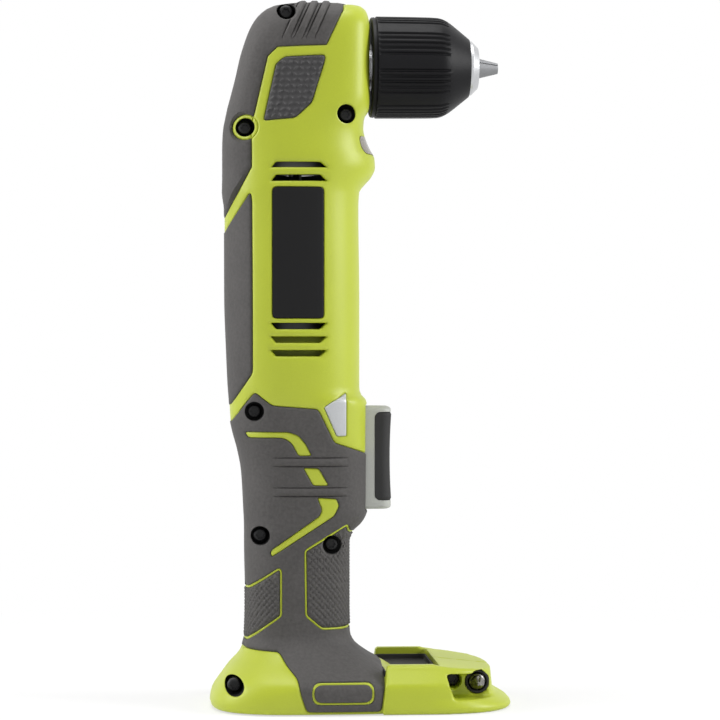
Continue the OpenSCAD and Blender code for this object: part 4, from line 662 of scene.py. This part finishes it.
    def layer(self, kinds, outer, depth, open_front=False):
        """A layer over the triangles of some kinds, from outer heights down to a depth under the skin.

        It is closed, except at the front middle where both halves of one piece meet."""
        faces = self.faces[np.isin(self.kinds, kinds)]
        used, faces = np.unique(faces, return_inverse=True)
        faces = faces.reshape(-1, 3)
        base, draw = self.base[used], self.draw[used]
        top = base + draw * np.broadcast_to(outer, len(self.flat))[used, None]
        low = base - draw * depth
        for rim in (self.flat[used, 0] <= 0, self.flat[used, 0] >= girth):
            top[rim, 1] = 0
            low[rim, 1] = 0
        edges = np.concatenate([faces[:, [0, 1]], faces[:, [1, 2]], faces[:, [2, 0]]])
        key = np.sort(edges, 1)
        _, first, count = np.unique(key, axis=0, return_index=True, return_counts=True)
        rim_edges = edges[first[count == 1]]
        if open_front:
            rim_edges = rim_edges[(self.flat[used][rim_edges][:, :, 0] > 0).any(1)]
        n = len(used)
        walls = np.concatenate([
            np.stack([rim_edges[:, 1], rim_edges[:, 0], rim_edges[:, 0] + n], 1),
            np.stack([rim_edges[:, 1], rim_edges[:, 0] + n, rim_edges[:, 1] + n], 1)])
        faces = np.concatenate([faces, faces[:, ::-1] + n, walls])
        if self.side > 0:
            faces = faces[:, ::-1]
        return self.mirrored(np.concatenate([top, low])), faces.tolist()


def made_piece(name, parts, material, body, angle=42):
    """One object from closed layers given as points and faces in millimetres."""
    points, faces = [], []
    for part_points, part_faces in parts:
        start = len(points)
        faces += [[k + start for k in face] for face in part_faces]
        points += np.asarray(part_points).tolist()
    mesh = bpy.data.meshes.new(name)
    mesh.from_pydata([[c * mm for c in p] for p in points], [], faces)
    tidy = bmesh.new()
    tidy.from_mesh(mesh)
    bmesh.ops.remove_doubles(tidy, verts=tidy.verts, dist=2e-6)
    bmesh.ops.dissolve_degenerate(tidy, edges=tidy.edges, dist=1e-6)
    bmesh.ops.recalc_face_normals(tidy, faces=tidy.faces)
    tidy.to_mesh(mesh)
    tidy.free()
    mesh.shade_smooth()
    mesh.set_sharp_from_angle(angle=math.radians(angle))
    mesh.materials.append(material)
    piece = bpy.data.objects.new(name, mesh)
    bpy.context.scene.collection.objects.link(piece)
    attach(piece, body)
    return piece


def loft(rows, ring=False):
    """A closed solid through rows of points: capped at both ends, or joined end to end where it is a ring."""
    n = len(rows[0])
    count = len(rows)
    faces = []
    for k in range(count if ring else count - 1):
        a, b = k * n, (k + 1) % count * n
        faces += [[a + j, a + (j + 1) % n, b + (j + 1) % n, b + j] for j in range(n)]
    if not ring:
        faces += [list(range(n))[::-1], [(count - 1) * n + j for j in range(n)]]
    return np.concatenate([np.asarray(row, float) for row in rows]), faces


def turned_rows(profile, axis, middle, count, shape=None):
    """Rows of points round an axis for a profile of places along it and radii, each shaped by its turn."""
    turn = np.linspace(0, 2 * np.pi, count, endpoint=False)
    others = [k for k in range(3) if k != axis]
    rows = []
    for along, r in profile:
        radius = r * np.ones(count) if shape is None else shape(turn, along, r)
        row = np.zeros((count, 3))
        row[:, axis] = along
        row[:, others[0]] = radius * np.cos(turn)
        row[:, others[1]] = radius * np.sin(turn)
        rows.append(row + np.array(middle))
    return rows


def turned(profile, axis, middle, count, shape=None, ring=False):
    """A solid or ring turned round an axis."""
    return loft(turned_rows(profile, axis, middle, count, shape), ring)


def prism(outline, low, high):
    """A solid with a side outline, from one place across the tool to another."""
    return loft([[(x, y, z) for x, z in outline] for y in (low, high)])


def edged_block(low, high, edge):
    """A block with its edges rounded."""
    block = bmesh.new()
    bmesh.ops.create_cube(block, size=1)
    low, high = Vector(low), Vector(high)
    for v in block.verts:
        v.co = Vector([(low[k] + high[k]) / 2 + v.co[k] * (high[k] - low[k]) for k in range(3)])
    bmesh.ops.bevel(block, geom=block.edges[:], offset=edge, segments=3, profile=0.5, affect="EDGES")
    block.verts.index_update()
    parts = [tuple(v.co) for v in block.verts], [[v.index for v in f.verts] for f in block.faces]
    block.free()
    return parts


def carved(solid, cutters, voxel):
    """A solid with others cut out of it, and its edges then softened."""
    def thing(part):
        mesh = bpy.data.meshes.new("carving")
        mesh.from_pydata([list(p) for p in part[0]], [], part[1])
        shape = bmesh.new()
        shape.from_mesh(mesh)
        bmesh.ops.recalc_face_normals(shape, faces=shape.faces)
        shape.to_mesh(mesh)
        shape.free()
        item = bpy.data.objects.new("carving", mesh)
        bpy.context.scene.collection.objects.link(item)
        return item

    block = thing(solid)
    tools = [thing(part) for part in cutters]
    for tool in tools:
        cut = block.modifiers.new("cut", "BOOLEAN")
        cut.operation = "DIFFERENCE"
        cut.solver = "EXACT"
        cut.object = tool
    remesh = block.modifiers.new("even", "REMESH")
    remesh.mode = "VOXEL"
    remesh.voxel_size = voxel
    soften = block.modifiers.new("soften", "SMOOTH")
    soften.factor = 0.5
    soften.iterations = 1
    bpy.context.view_layer.update()
    shape = block.evaluated_get(bpy.context.evaluated_depsgraph_get()).to_mesh()
    points = np.array([tuple(v.co) for v in shape.vertices])
    faces = [list(f.vertices) for f in shape.polygons]
    for item in [block] + tools:
        mesh = item.data
        bpy.data.objects.remove(item)
        bpy.data.meshes.remove(mesh)
    return points, faces


# Height, front and half width of the foot's front, then its roundness.
foot_rows = [(0.0, 62.0, 38.5, 2.8), (1.3, 62.9, 39.5, 2.8), (2.8, 61.8, 39.5, 2.8), (4.6, 58.6, 39.5, 2.9),
             (6.2, 55.8, 39.5, 3.0), (8.0, 54.6, 39.5, 3.2), (11.8, 54.2, 39.2, 3.2), (17.6, 53.8, 34.4, 3.2),
             (19.4, 53.0, 33.2, 3.2)]
foot_back_x, foot_back_lean, foot_run, foot_voxel = 6.2, 0.14, 41, 0.88
foot_slope = [(28.5, 19.1), (35, 18.2), (53.6, 16.2), (66, 15), (66, 24), (28.5, 24)]
notch = [(32.6, 15.9), (36.0, 5.4), (66, 5.4), (66, 14.2), (53.6, 14.3)]
notch_wall = 24
tray_half, tray_front, tray_floor = 29, 30.6, 13.4
recess_front, recess_ceiling, recess_side, recess_wall = 31.5, 9.5, 39.3, 2.6
bit_x, bit_z, bit_hole_r = 46.7, 11.4, 4.95
foot_screw_x, foot_screw_z, foot_screw_seat, foot_screw_hole_r = 37.0, 12.0, 17.8, 3.3
# How far the cutters reach out to the side and past the middle plane, and the rounding of their edges.
cut_out, cut_past, cut_edge = -45, 3, 1.2


def foot_front(screwed):
    """The green front of the foot on the -Y side."""
    rows = []
    turn = np.linspace(0, np.pi / 2, 33)
    for z, front, half, roundness in foot_rows:
        x = front - foot_run + foot_run * np.abs(np.cos(turn)) ** (2 / roundness)
        y = half * np.abs(np.sin(turn)) ** (2 / roundness)
        back = foot_back_x + foot_back_lean * z
        rows.append([(back, 0, z)] + [(a, -b, z) for a, b in zip(x, y)] + [(back, -half, z)])
    cutters = [
        prism(foot_slope, cut_out, 1),
        prism(notch, cut_out, -notch_wall),
        edged_block((foot_back_x - 3, -tray_half, tray_floor), (tray_front, cut_past, 30), cut_edge),
        edged_block((0, -recess_side + recess_wall, -6), (recess_front, cut_past, recess_ceiling), cut_edge),
        turned([(cut_out, bit_hole_r), (2, bit_hole_r)], 1, (bit_x, 0, bit_z), 40)]
    if screwed:
        cutters.append(turned([(cut_out, foot_screw_hole_r), (-foot_screw_seat, foot_screw_hole_r)], 1,
                              (foot_screw_x, 0, foot_screw_z), 32))
    return carved(loft(rows), cutters, foot_voxel)


lime_plastic = finish("lime_plastic", shade(177, 189, 47), 0.34, 0.1, spread=0.1, scale=2200)
skins = {"left": Skin(-1), "right": Skin(1)}
pad_kinds = ["bumper", "spine", "head_pad", "grip", "field", "plate"]
pad_floor = 1.45
# An inner screen behind the lower slots, under the motor.
vent_screen = ((-45.5, -14.2, 139.5), (-10.5, -12.6, 153.8))
for side, skin in skins.items():
    front_points, front_faces = foot_front(side == "left")
    screen_points, screen_faces = edged_block(*vent_screen, 0.5)
    parts = [skin.layer(["shell", "line"], skin.heights(0), wall), skin.layer(pad_kinds, -pad_floor, wall),
             (skin.mirrored(front_points), front_faces), (skin.mirrored(np.array(screen_points)), screen_faces)]
    shell = made_piece(f"{side}_shell", parts, lime_plastic, "housing")
    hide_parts(f"{side}_housing")

# Tray liner: a thin dark pan on the floor of the foot's tray, which makes the tray's floor dark.
# It is pressed in under the tray's rim, against the grip at its back.
# The liner's dark finish makes the tray's floor dark.
liner_dark = finish("liner_dark", shade(44, 43, 42), 0.62, 0.5, spread=0.4, scale=900, shine=0.3)
liner_back, liner_t, liner_top, liner_corner, liner_fit = 8.0, 0.8, 16.6, 2.0, 0.1
liner_front, liner_half = tray_front - liner_fit, tray_half - liner_fit
liner_edge = rounded([(liner_back, -liner_half), (liner_front, -liner_half), (liner_front, liner_half),
                      (liner_back, liner_half)], liner_corner)
liner_rows = [[(x, y, z) for x, y in shrunk(liner_edge, inset)] for z, inset in (
    (tray_floor + 0.05, 0.5), (tray_floor + 0.4, 0), (liner_top - 0.2, 0), (liner_top, 0.2),
    (liner_top, liner_t - 0.2), (liner_top - 0.2, liner_t), (tray_floor + liner_t + 0.4, liner_t),
    (tray_floor + liner_t, liner_t + 0.4))]
liner = made_piece("tray_liner", [loft(liner_rows)], liner_dark, "housing")

# Soft overmould: grey rubber moulded over the head's bumper, the barrel's spine and the grip of both halves.
# Each pad is a layer of the same skin, a little proud of the green, with a groove where the two meet.
# The head pads have a tread of short bars, and the grip's fields a pattern of small scales.
soft_rubber = finish("soft_rubber", shade(76, 74, 73), 0.6, 0.45, spread=0.5, scale=800, shine=0.35)
tread_rubber = finish("tread_rubber", shade(54, 53, 54), 0.5, 0.25, spread=0.3, scale=800, shine=0.5)
pad_t, pad_proud = 1.35, 0.3
tread_sunk, field_sunk = 0.3, 0.4
relief_from, relief_run = 0.35, 0.7


def bar_tread(flat, pitch=2.4, length=0.95, breadth=0.4, height=0.85):
    """Short bars that lean left and right in turn."""
    cell = np.floor(flat / pitch)
    across, up = (flat - (cell + 0.5) * pitch).T
    lean = np.where((cell.sum(1) % 2) == 0, 1, -1)
    along, beside = (across + lean * up) / math.sqrt(2), (across - lean * up) / math.sqrt(2)
    return height * np.exp(-(along / length) ** 4 - (beside / breadth) ** 2)


def scale_pattern(flat, breadth=3.2, rise=2.6, height=0.75):
    """Small pointed scales in diagonal rows."""
    p, q = flat[:, 0] / breadth, flat[:, 1] / rise
    return height * np.sqrt(np.abs(np.sin(math.pi * (p + q)) * np.sin(math.pi * (p - q))))


def finger_bands(places, height=0.5, run=3):
    """Two low bands round the side of the grip, level with the trigger."""
    x = places[:, 0]
    ends = np.clip((x - finger_from) / run, 0, 1) * np.clip((finger_to - x) / run, 0, 1)
    return height * band_share(places[:, 2]) * ends


def back_crease(places, height=1.4, place=5.0, run=6.5, top=284, fade=12):
    """The crease down each side of the head's bumper, a little in from its back."""
    off = places[:, 0] - np.interp(places[:, 2], levels, section_x[:, -1])
    ridge = np.where(off < place, off / place, 1 - (off - place) / run)
    return height * np.clip(ridge, 0, 1) * np.clip((top - places[:, 2]) / fade, 0, 1)


bumper_layers, spine_layers, head_pad_layers = [], [], []
for side, skin in skins.items():
    plain = skin.heights(pad_proud)
    away = np.clip((skin.gap - relief_from) / relief_run, 0, 1)
    ridges = (rib_height(skin.base) + back_crease(skin.base)) * away
    bumper_layers.append(skin.layer(["bumper"], plain + ridges, pad_t))
    spine_layers.append(skin.layer(["spine"], plain, pad_t))
    head_pad_layers.append(skin.layer(["head_pad"], plain - tread_sunk + bar_tread(skin.flat) * away, pad_t))
    grip_layers = [skin.layer(["grip"], plain + finger_bands(skin.base) * away, pad_t),
                   skin.layer(["field"], plain - field_sunk + scale_pattern(skin.flat) * away, pad_t)]
    grip = made_piece(f"{side}_grip_cover", grip_layers, soft_rubber, "housing")
    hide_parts(f"{side}_grip")
for name, layers, node, rubber in (("head_bumper", bumper_layers, "head_bumpers", soft_rubber),
                                   ("spine_pad", spine_layers, "spine_pads", soft_rubber),
                                   ("head_pad", head_pad_layers, "head_pads", tread_rubber)):
    pad = made_piece(name, layers, rubber, "housing")
    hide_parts(node)

# Side plates: thin black polycarbonate plates, bare, one in each side of the barrel.
# Each follows the barrel's curve and is stuck down flush in its recess, with a fine gap round it.
plate_black = finish("plate_black", shade(21, 21, 22), 0.28, 0.06, scale=2600, shine=0.18)
plate_proud = 0.02
plates = made_piece("barrel_plates", [skin.layer(["plate"], skin.heights(plate_proud), pad_t)
                                      for skin in skins.values()], plate_black, "housing")
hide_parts("side_plates")

# Direction selector: one silver-grey nylon slide, whose bar crosses over the switch and shows on both sides.
# Its ends follow the body's skin, a little proud of it.
selector_silver = finish("selector_silver", shade(186, 188, 190), 0.34, 0.08, metallic=0.3)
selector_t, selector_proud = 4, 0.3
bar_x, bar_z, bar_reach, bar_half_t, bar_half_h = -10.86, 119.0, 17.5, 1.6, 3.0
selector_ends = [skin.layer(["selector"], skin.heights(selector_proud), selector_t) for skin in skins.values()]
selector_bar = edged_block((bar_x - bar_half_t, -bar_reach, bar_z - bar_half_h),
                           (bar_x + bar_half_t, bar_reach, bar_z + bar_half_h), 0.4)
selector = made_piece("selector_slide", selector_ends + [selector_bar], selector_silver, "selector")
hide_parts("direction_selector")

# Housing screws: black thread-forming screws with six-lobe recesses, sunk in wells on the left side.
# Each is turned in one go, from the point of its shank to the floor of its recess.
screw_black = finish("screw_black", shade(38, 38, 39), 0.36, 0.1, metallic=0.6)
# The cups round the screws are painted black as the shade down the holes.
cup_painted_shade = finish("cup_painted_shade", shade(20, 20, 20), 0.5, 0.12, shine=0.2)
screw_r, screw_engage, screw_recess = 1.45, 8, 4
screw_head_r, screw_head_h, screw_lobe_r, screw_lobe_share = 2.85, 2.2, 1.55, 0.13


def side_half(x, z):
    """Distance of the body's side from the middle plane."""
    return -skin_points(*to_skin([(x, z)]).T)[0, 1]


def lobed_screw(x, z, seat):
    """A screw along Y whose head seats at a distance from the middle plane on the -Y side."""
    top = -seat - screw_head_h

    def shape(turn, along, r):
        return r * (1 + screw_lobe_share * np.cos(6 * turn)) if r == screw_lobe_r else r * np.ones(len(turn))

    profile = [(screw_engage, 0.5), (screw_engage - 1.2, screw_r), (-seat + 0.3, screw_r),
               (-seat, screw_r + 0.2), (-seat, screw_head_r), (top + 0.8, screw_head_r),
               (top + 0.25, screw_head_r - 0.25), (top, screw_head_r - 0.7), (top, screw_lobe_r),
               (top + 1.5, screw_lobe_r)]
    return turned(profile, 1, (x, 0, z), 48, shape)


def screw_cup(x, z, top):
    """A cup painted black as the shade down a screw's hole, that its head sits in, from a depth inside the wall
    down past the seat.
    """
    inner, outer, shank, floor_t = screw_hole_r - 0.1, screw_hole_r + 0.6, 1.7, 2
    profile = [(0, inner), (0, inner), (0, shank), (floor_t, shank), (floor_t, outer), (0, outer)]
    rows = turned_rows(profile, 1, (x, 0, z), 36)
    for rim in (rows[0], rows[-1]):
        places = to_skin(rim[:, [0, 2]]).T
        slope = np.clip(-skin_normals(*places)[:, 1], least_slope, 1)
        rim[:, 1] = skin_points(*places)[:, 1] + top / slope
    floor = max(screw_recess + screw_head_h - side_half(x, z), rows[-1][:, 1].max() + 0.3)
    for row in rows[1:5]:
        row[:, 1] += floor
    return loft(rows, ring=True)


# Cups in the grey pads and the foot's slope come well up in the wall, so that their painted shade lines the
# holes; the head's two in the green sit lower.
cup_tops = (0.9, 2.0, 2.0, 0.9, 0.9, 0.9, 0.9)
cups = made_piece("screw_wells_painted_shade", [screw_cup(x, z, top) for (x, z), top in zip(screw_places, cup_tops)],
                  cup_painted_shade, "housing")
body_screws = made_piece("body_screws", [
    lobed_screw(x, z, side_half(x, z) - screw_recess - screw_head_h) for x, z in screw_places],
    screw_black, "housing")
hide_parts("housing_screws")
front_screw = made_piece("foot_front_screw", [lobed_screw(foot_screw_x, foot_screw_z, foot_screw_seat)],
                         screw_black, "housing")
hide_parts("foot_screw")

# Trigger: a light grey moulding with a soft dark insert let into its finger face.
# Both are lofted up the trigger, whose finger face is slightly hollow.
trigger_grey = finish("trigger_grey", shade(176, 178, 172), 0.42, 0.12, scale=2000)
trigger_soft = finish("trigger_soft", shade(40, 40, 40), 0.55, 0.3, scale=1500, shine=0.3)
trigger_back, trigger_front, trigger_corner, finger_hollow = -2.4, 12.7, 4.2, 0.9
trigger_bottom, trigger_top, trigger_half = 81.6, 124.4, 10.4
lip_front, lip_reach = -0.6, 1.5
plunger_profile, switch_z = [(-14.2, 1.8), (-13.6, 2.4), (-2.0, 2.4)], 95.8
insert_back, insert_bottom, insert_top, insert_corner = 5.5, 85.2, 122.0, 2.4
insert_core, insert_rim, insert_proud, insert_gap = 6.9, 1.4, 0.25, 0.05


def trigger_row(z, inset, proud, back, clip, core=None):
    """The trigger's outline from above at one height, hollow at the back up to a core."""
    middle_z = (trigger_bottom + trigger_top) / 2
    share = (z - middle_z) / (trigger_top - trigger_bottom) * 2
    front = trigger_front - finger_hollow * (1 - share * share) - inset + proud
    half = trigger_half - inset + proud * 0.5
    side = [(front - trigger_corner + trigger_corner * math.cos(t),
             half - trigger_corner + trigger_corner * math.sin(t)) for t in np.linspace(0, np.pi / 2, 12)]
    side.append((back, half))
    if core:
        side += [(back, half - insert_rim), (max(back, core), half - insert_rim)]
    if clip:
        side = [(min(x, clip), y) for x, y in side]
    return [(x, y, z) for x, y in side] + [(x, -y, z) for x, y in reversed(side)]


def insert_edge(z):
    """Back edge of the insert at one height, with its corners rounded."""
    off = min(z - insert_bottom, insert_top - z)
    return insert_back + insert_corner - math.sqrt(insert_corner ** 2 - max(insert_corner - off, 0) ** 2)


insert_levels = np.concatenate([insert_bottom + np.array([0.05, 0.2, 0.5, 1.0, 1.6]),
                                np.linspace(insert_bottom + 2.4, insert_top - 2.4, 18),
                                insert_top - np.array([1.6, 1.0, 0.5, 0.2, 0.05])])
edge_rows = [(0, 1.6), (0.35, 0.75), (0.95, 0.2), (1.6, 0)]
body_rows = [trigger_row(trigger_bottom + rise, inset, 0, trigger_back, 0) for rise, inset in edge_rows]
body_rows += [trigger_row(insert_bottom - insert_gap, 0, 0, trigger_back, 0)]
body_rows += [trigger_row(z, 0, 0, trigger_back, insert_edge(z) - insert_gap) for z in insert_levels]
body_rows += [trigger_row(insert_top + insert_gap, 0, 0, trigger_back, 0)]
body_rows += [trigger_row(trigger_top - rise, inset, 0, trigger_back, 0) for rise, inset in reversed(edge_rows)]
trigger_lip = edged_block((trigger_back, -trigger_half - lip_reach, trigger_bottom - lip_reach),
                          (lip_front, trigger_half + lip_reach, trigger_top + lip_reach), 0.4)
plunger = turned(plunger_profile, 0, (0, 0, switch_z), 32)
trigger_body = made_piece("trigger_body", [loft(body_rows), trigger_lip, plunger], trigger_grey, "trigger")
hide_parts("trigger")
insert_rows = [trigger_row(z, 0.5 * max(0, 1 - min(z - insert_bottom, insert_top - z)), insert_proud,
                           insert_edge(z), 0, insert_core) for z in insert_levels]
insert = made_piece("trigger_insert", [loft(insert_rows)], trigger_soft, "trigger")
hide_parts("trigger_pad")

# Trigger spring: a coil of spring wire between the switch and the pocket in the trigger's back.
# It is wound as one tube; on the tool, it closes up towards the switch as the trigger is pulled.
spring_wire = finish("spring_wire", shade(190, 191, 193), 0.25, 0.06, metallic=1)
coil_from, coil_to, coil_seat = -8.52, 3.08, -9.02
coil_r, coil_wire_r, coil_turns, coil_steps = 4.0, 0.35, 5, 28
coil_rows = []
for share in np.linspace(0, 1, coil_turns * coil_steps + 1):
    turn = 2 * math.pi * coil_turns * share
    out = np.array([0, math.cos(turn), math.sin(turn)])
    middle = coil_r * out + np.array([coil_from + (coil_to - coil_from) * share, 0, switch_z])
    coil_rows.append([middle + coil_wire_r * (out * math.cos(t) + np.array([1, 0, 0]) * math.sin(t))
                      for t in np.linspace(0, 2 * math.pi, 10, endpoint=False)])
coil = made_piece("trigger_coil", [loft(coil_rows)], spring_wire, "housing")
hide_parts("trigger_spring")
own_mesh(coil)

# Keyless chuck: a black glass-filled sleeve, ribbed in groups, that turns on a steel body with three jaws.
# The sleeve is turned with its grooves in one loft; the steel parts are the frame's own solids.
chuck_black = finish("chuck_black", shade(19, 19, 21), 0.34, 0.16, scale=1800, shine=0.14)
chuck_x = 4.12
sleeve_groups, sleeve_grooves, groove_pitch, groove_depth = 8, 5, 6.4, 0.7
groove_from, groove_to, groove_run = 2.3, 32.2, 1.2
groove_flat, groove_side, outer_from = 1.7, 1.2, 19
sleeve_profile = [(0.0, 20.2), (0.15, 20.6), (0.5, 20.9), (1.6, 21.0), (1.8, 20.6), (2.0, 20.6), (2.3, 21.2),
                  (2.6, 21.3), (3.6, 21.3), (12, 21.25), (18, 21.2), (25, 21.1), (28.4, 20.9), (29.8, 20.6),
                  (31.0, 20.15), (32.4, 19.4), (33.6, 18.6), (35.0, 17.55), (38.0, 15.15), (40.6, 13.05),
                  (41.4, 12.4), (41.7, 12.1), (41.5, 11.8), (40.2, 11.8), (32.0, 18.4), (0.6, 19.3),
                  (0.1, 19.6)]


def sleeve_shape(turn, along, r):
    """Grooves along the sleeve, in groups with plain lands between."""
    place = np.degrees(turn) % (360 / sleeve_groups) - 180 / sleeve_groups
    groove = np.zeros(len(turn))
    for k in range(sleeve_grooves):
        middle = (k - (sleeve_grooves - 1) / 2) * groove_pitch
        groove = np.maximum(groove, np.clip(groove_flat - np.abs(place - middle) / groove_side, 0, 1))
    reach = np.clip((along - groove_from) / groove_run, 0, 1) * np.clip((groove_to - along) / groove_run, 0, 1)
    return r - (groove_depth * reach * groove if r > outer_from else 0)


sleeve_ring = turned(sleeve_profile, 0, (chuck_x, 0, spindle_z), 480, sleeve_shape, ring=True)
sleeve = made_piece("ribbed_sleeve", [sleeve_ring], chuck_black, "sleeve", angle=30)
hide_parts("chuck_sleeve")
dress(finish("cap_black", shade(30, 30, 32), 0.42, 0.14, shine=0.25), "chuck_rear_cap")
dress(finish("chuck_steel", shade(196, 197, 199), 0.22, 0.08, metallic=1, group=turned_along_x), "chuck_body")
dress(finish("jaw_steel", shade(142, 143, 145), 0.42, 0.12, metallic=1), "jaw_1", "jaw_2", "jaw_3", "jaw_nut")

# Work light: a clear moulded lens let into the slope under the chuck, bent round it to both sides.
# The housing halves hold it by its edge, and its board sits behind it.
lens_t, lens_proud, lens_transmission = 1.8, 0.05, 0.3
lens_clear = finish("lens_clear", shade(158, 152, 142), 0.12, 0.03, spread=0.05)
lens_clear.node_tree.nodes["Principled BSDF"].inputs["Transmission Weight"].default_value = lens_transmission
lens = made_piece("light_window", [skin.layer(["lens"], lens_proud, lens_t, open_front=True)
                                   for skin in skins.values()], lens_clear, "housing")
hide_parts("light_lens")

# Stored driver bit: a double-ended hexagon bit of hardened steel with cross tips, turned and fluted.
# Two rubber grommets, pressed into the foot, hold it so that it can be pulled out to either side.
bit_steel = finish("bit_steel", shade(126, 124, 120), 0.28, 0.1, metallic=1)
grommet_rubber = finish("grommet_rubber", shade(34, 33, 33), 0.7, 0.3)
bit_af, bit_neck_r, shank_end = 6.3, 2.55, 24
flute_from, flute_run, flute_share = 27.5, 1.5, 0.42


def bit_shape(turn, along, r):
    """A hexagon along the shank, round necks, and four flutes on each tip."""
    reach = abs(along)
    if reach <= shank_end:
        return np.minimum(bit_af / 2 / np.cos((turn % (math.pi / 3)) - math.pi / 6), r)
    if reach > flute_from:
        deep = flute_share * min((reach - flute_from) / flute_run, 1)
        return r * (1 - deep * np.clip(np.cos(4 * turn), 0, 1))
    return r * np.ones(len(turn))


half_bit = [(23.2, 3.6), (24.0, 3.2), (24.6, bit_neck_r), (27.4, bit_neck_r), (28.4, 2.35), (29.6, 1.9),
            (31.0, 1.35), (31.8, 0.9), (31.95, 0.5)]
bit_profile = [(-a, r) for a, r in reversed(half_bit)] + half_bit
bit_solid = turned(bit_profile, 1, (bit_x, 0, bit_z), 72, bit_shape)
bit = made_piece("stored_bit", [bit_solid], bit_steel, "bit", angle=25)
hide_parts("driver_bit")
grommet_profile = [(-24.0, 3.9), (-24.2, 4.2), (-24.2, 4.6), (-24.0, 4.85), (-20.4, 4.85), (-20.1, 4.5),
                   (-20.1, 4.1), (-20.4, 3.85), (-21.2, 3.75), (-23.2, 3.75)]
grommets = made_piece("bit_holders", [
    turned([(along * way, r) for along, r in grommet_profile], 1, (bit_x, 0, bit_z), 40, ring=True)
    for way in (1, -1)], grommet_rubber, "housing")
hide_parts("bit_grommets")

# Studio: a plain pale floor under three soft lamps.
# Its white backdrop shows to the camera and in reflections only.
# The floor fades into it away from the tool.
scene = bpy.context.scene
scene.view_settings.view_transform = "Standard"
white = (1, 1, 1, 1)
world_level, floor_glow, fade_from, fade_to = 0.21, 0.6, 0.12, 0.4
floor_low, floor_high, floor_z = (-6, -4), (6, 8), -0.0002
lamp_aim = Vector((0, 0, 0.15))


def backdrop_rays(tree):
    """One for rays that see the backdrop: from the camera, off a shiny surface or through a clear one."""
    rays = added(tree, "LightPath", {}).outputs
    found = rays["Is Camera Ray"]
    for kind in ("Is Glossy Ray", "Is Transmission Ray"):
        found = added(tree, "Math", {0: found, 1: rays[kind]}, operation="MAXIMUM").outputs["Value"]
    return found


world = bpy.data.worlds.new("studio")
world.use_nodes = True
scene.world = world
backdrop = world.node_tree.nodes["Background"].inputs
backdrop["Color"].default_value = white
seen = backdrop_rays(world.node_tree)
level = added(world.node_tree, "MapRange", {"Value": seen, "To Min": world_level, "To Max": 1})
world.node_tree.links.new(level.outputs["Result"], backdrop["Strength"])

floor_mesh = bpy.data.meshes.new("floor")
floor_mesh.from_pydata([(floor_low[0], floor_low[1], floor_z), (floor_high[0], floor_low[1], floor_z),
                        (floor_high[0], floor_high[1], floor_z), (floor_low[0], floor_high[1], floor_z)],
                       [], [(0, 1, 2, 3)])
floor = bpy.data.objects.new("floor", floor_mesh)
scene.collection.objects.link(floor)
floor_finish = finish("floor_white", shade(250, 250, 250), 0.8, 0.02, spread=0.01, scale=300)
tree = floor_finish.node_tree
floor_place = added(tree, "TexCoord", {}).outputs["Object"]
reach = added(tree, "VectorMath", {0: floor_place}, operation="LENGTH").outputs["Value"]
fade = added(tree, "MapRange", {"Value": reach, "From Min": fade_from, "From Max": fade_to,
                                "To Min": floor_glow, "To Max": 1}).outputs["Result"]
share = added(tree, "Math", {0: backdrop_rays(tree), 1: fade}, operation="MULTIPLY").outputs["Value"]
glow = added(tree, "Emission", {"Color": white}).outputs["Emission"]
mixed = added(tree, "MixShader", {"Fac": share, 1: tree.nodes["Principled BSDF"].outputs["BSDF"], 2: glow})
tree.links.new(mixed.outputs["Shader"], tree.nodes["Material Output"].inputs["Surface"])
floor_mesh.materials.append(floor_finish)

for name, place, size, power in (("key", (1.2, -0.35, 0.6), 0.6, 12), ("fill", (-1.2, -0.1, 0.6), 0.8, 10.5),
                                 ("top", (-0.1, -0.1, 1.3), 0.8, 9.5)):
    data = bpy.data.lights.new(name, "AREA")
    data.size = size
    data.energy = power
    lamp = bpy.data.objects.new(name, data)
    lamp.location = place
    lamp.rotation_euler = (lamp_aim - Vector(place)).to_track_quat("-Z", "Y").to_euler()
    scene.collection.objects.link(lamp)

camera_data = bpy.data.cameras.new("camera")
camera_data.lens = 120
camera_data.sensor_width = 36
camera = bpy.data.objects.new("camera", camera_data)
camera.location = (-0.0703, -1.0055, 0.1436)
camera.rotation_euler = Vector((0.0698, 0.9976, 0)).to_track_quat("-Z", "Y").to_euler()
scene.collection.objects.link(camera)
scene.camera = camera
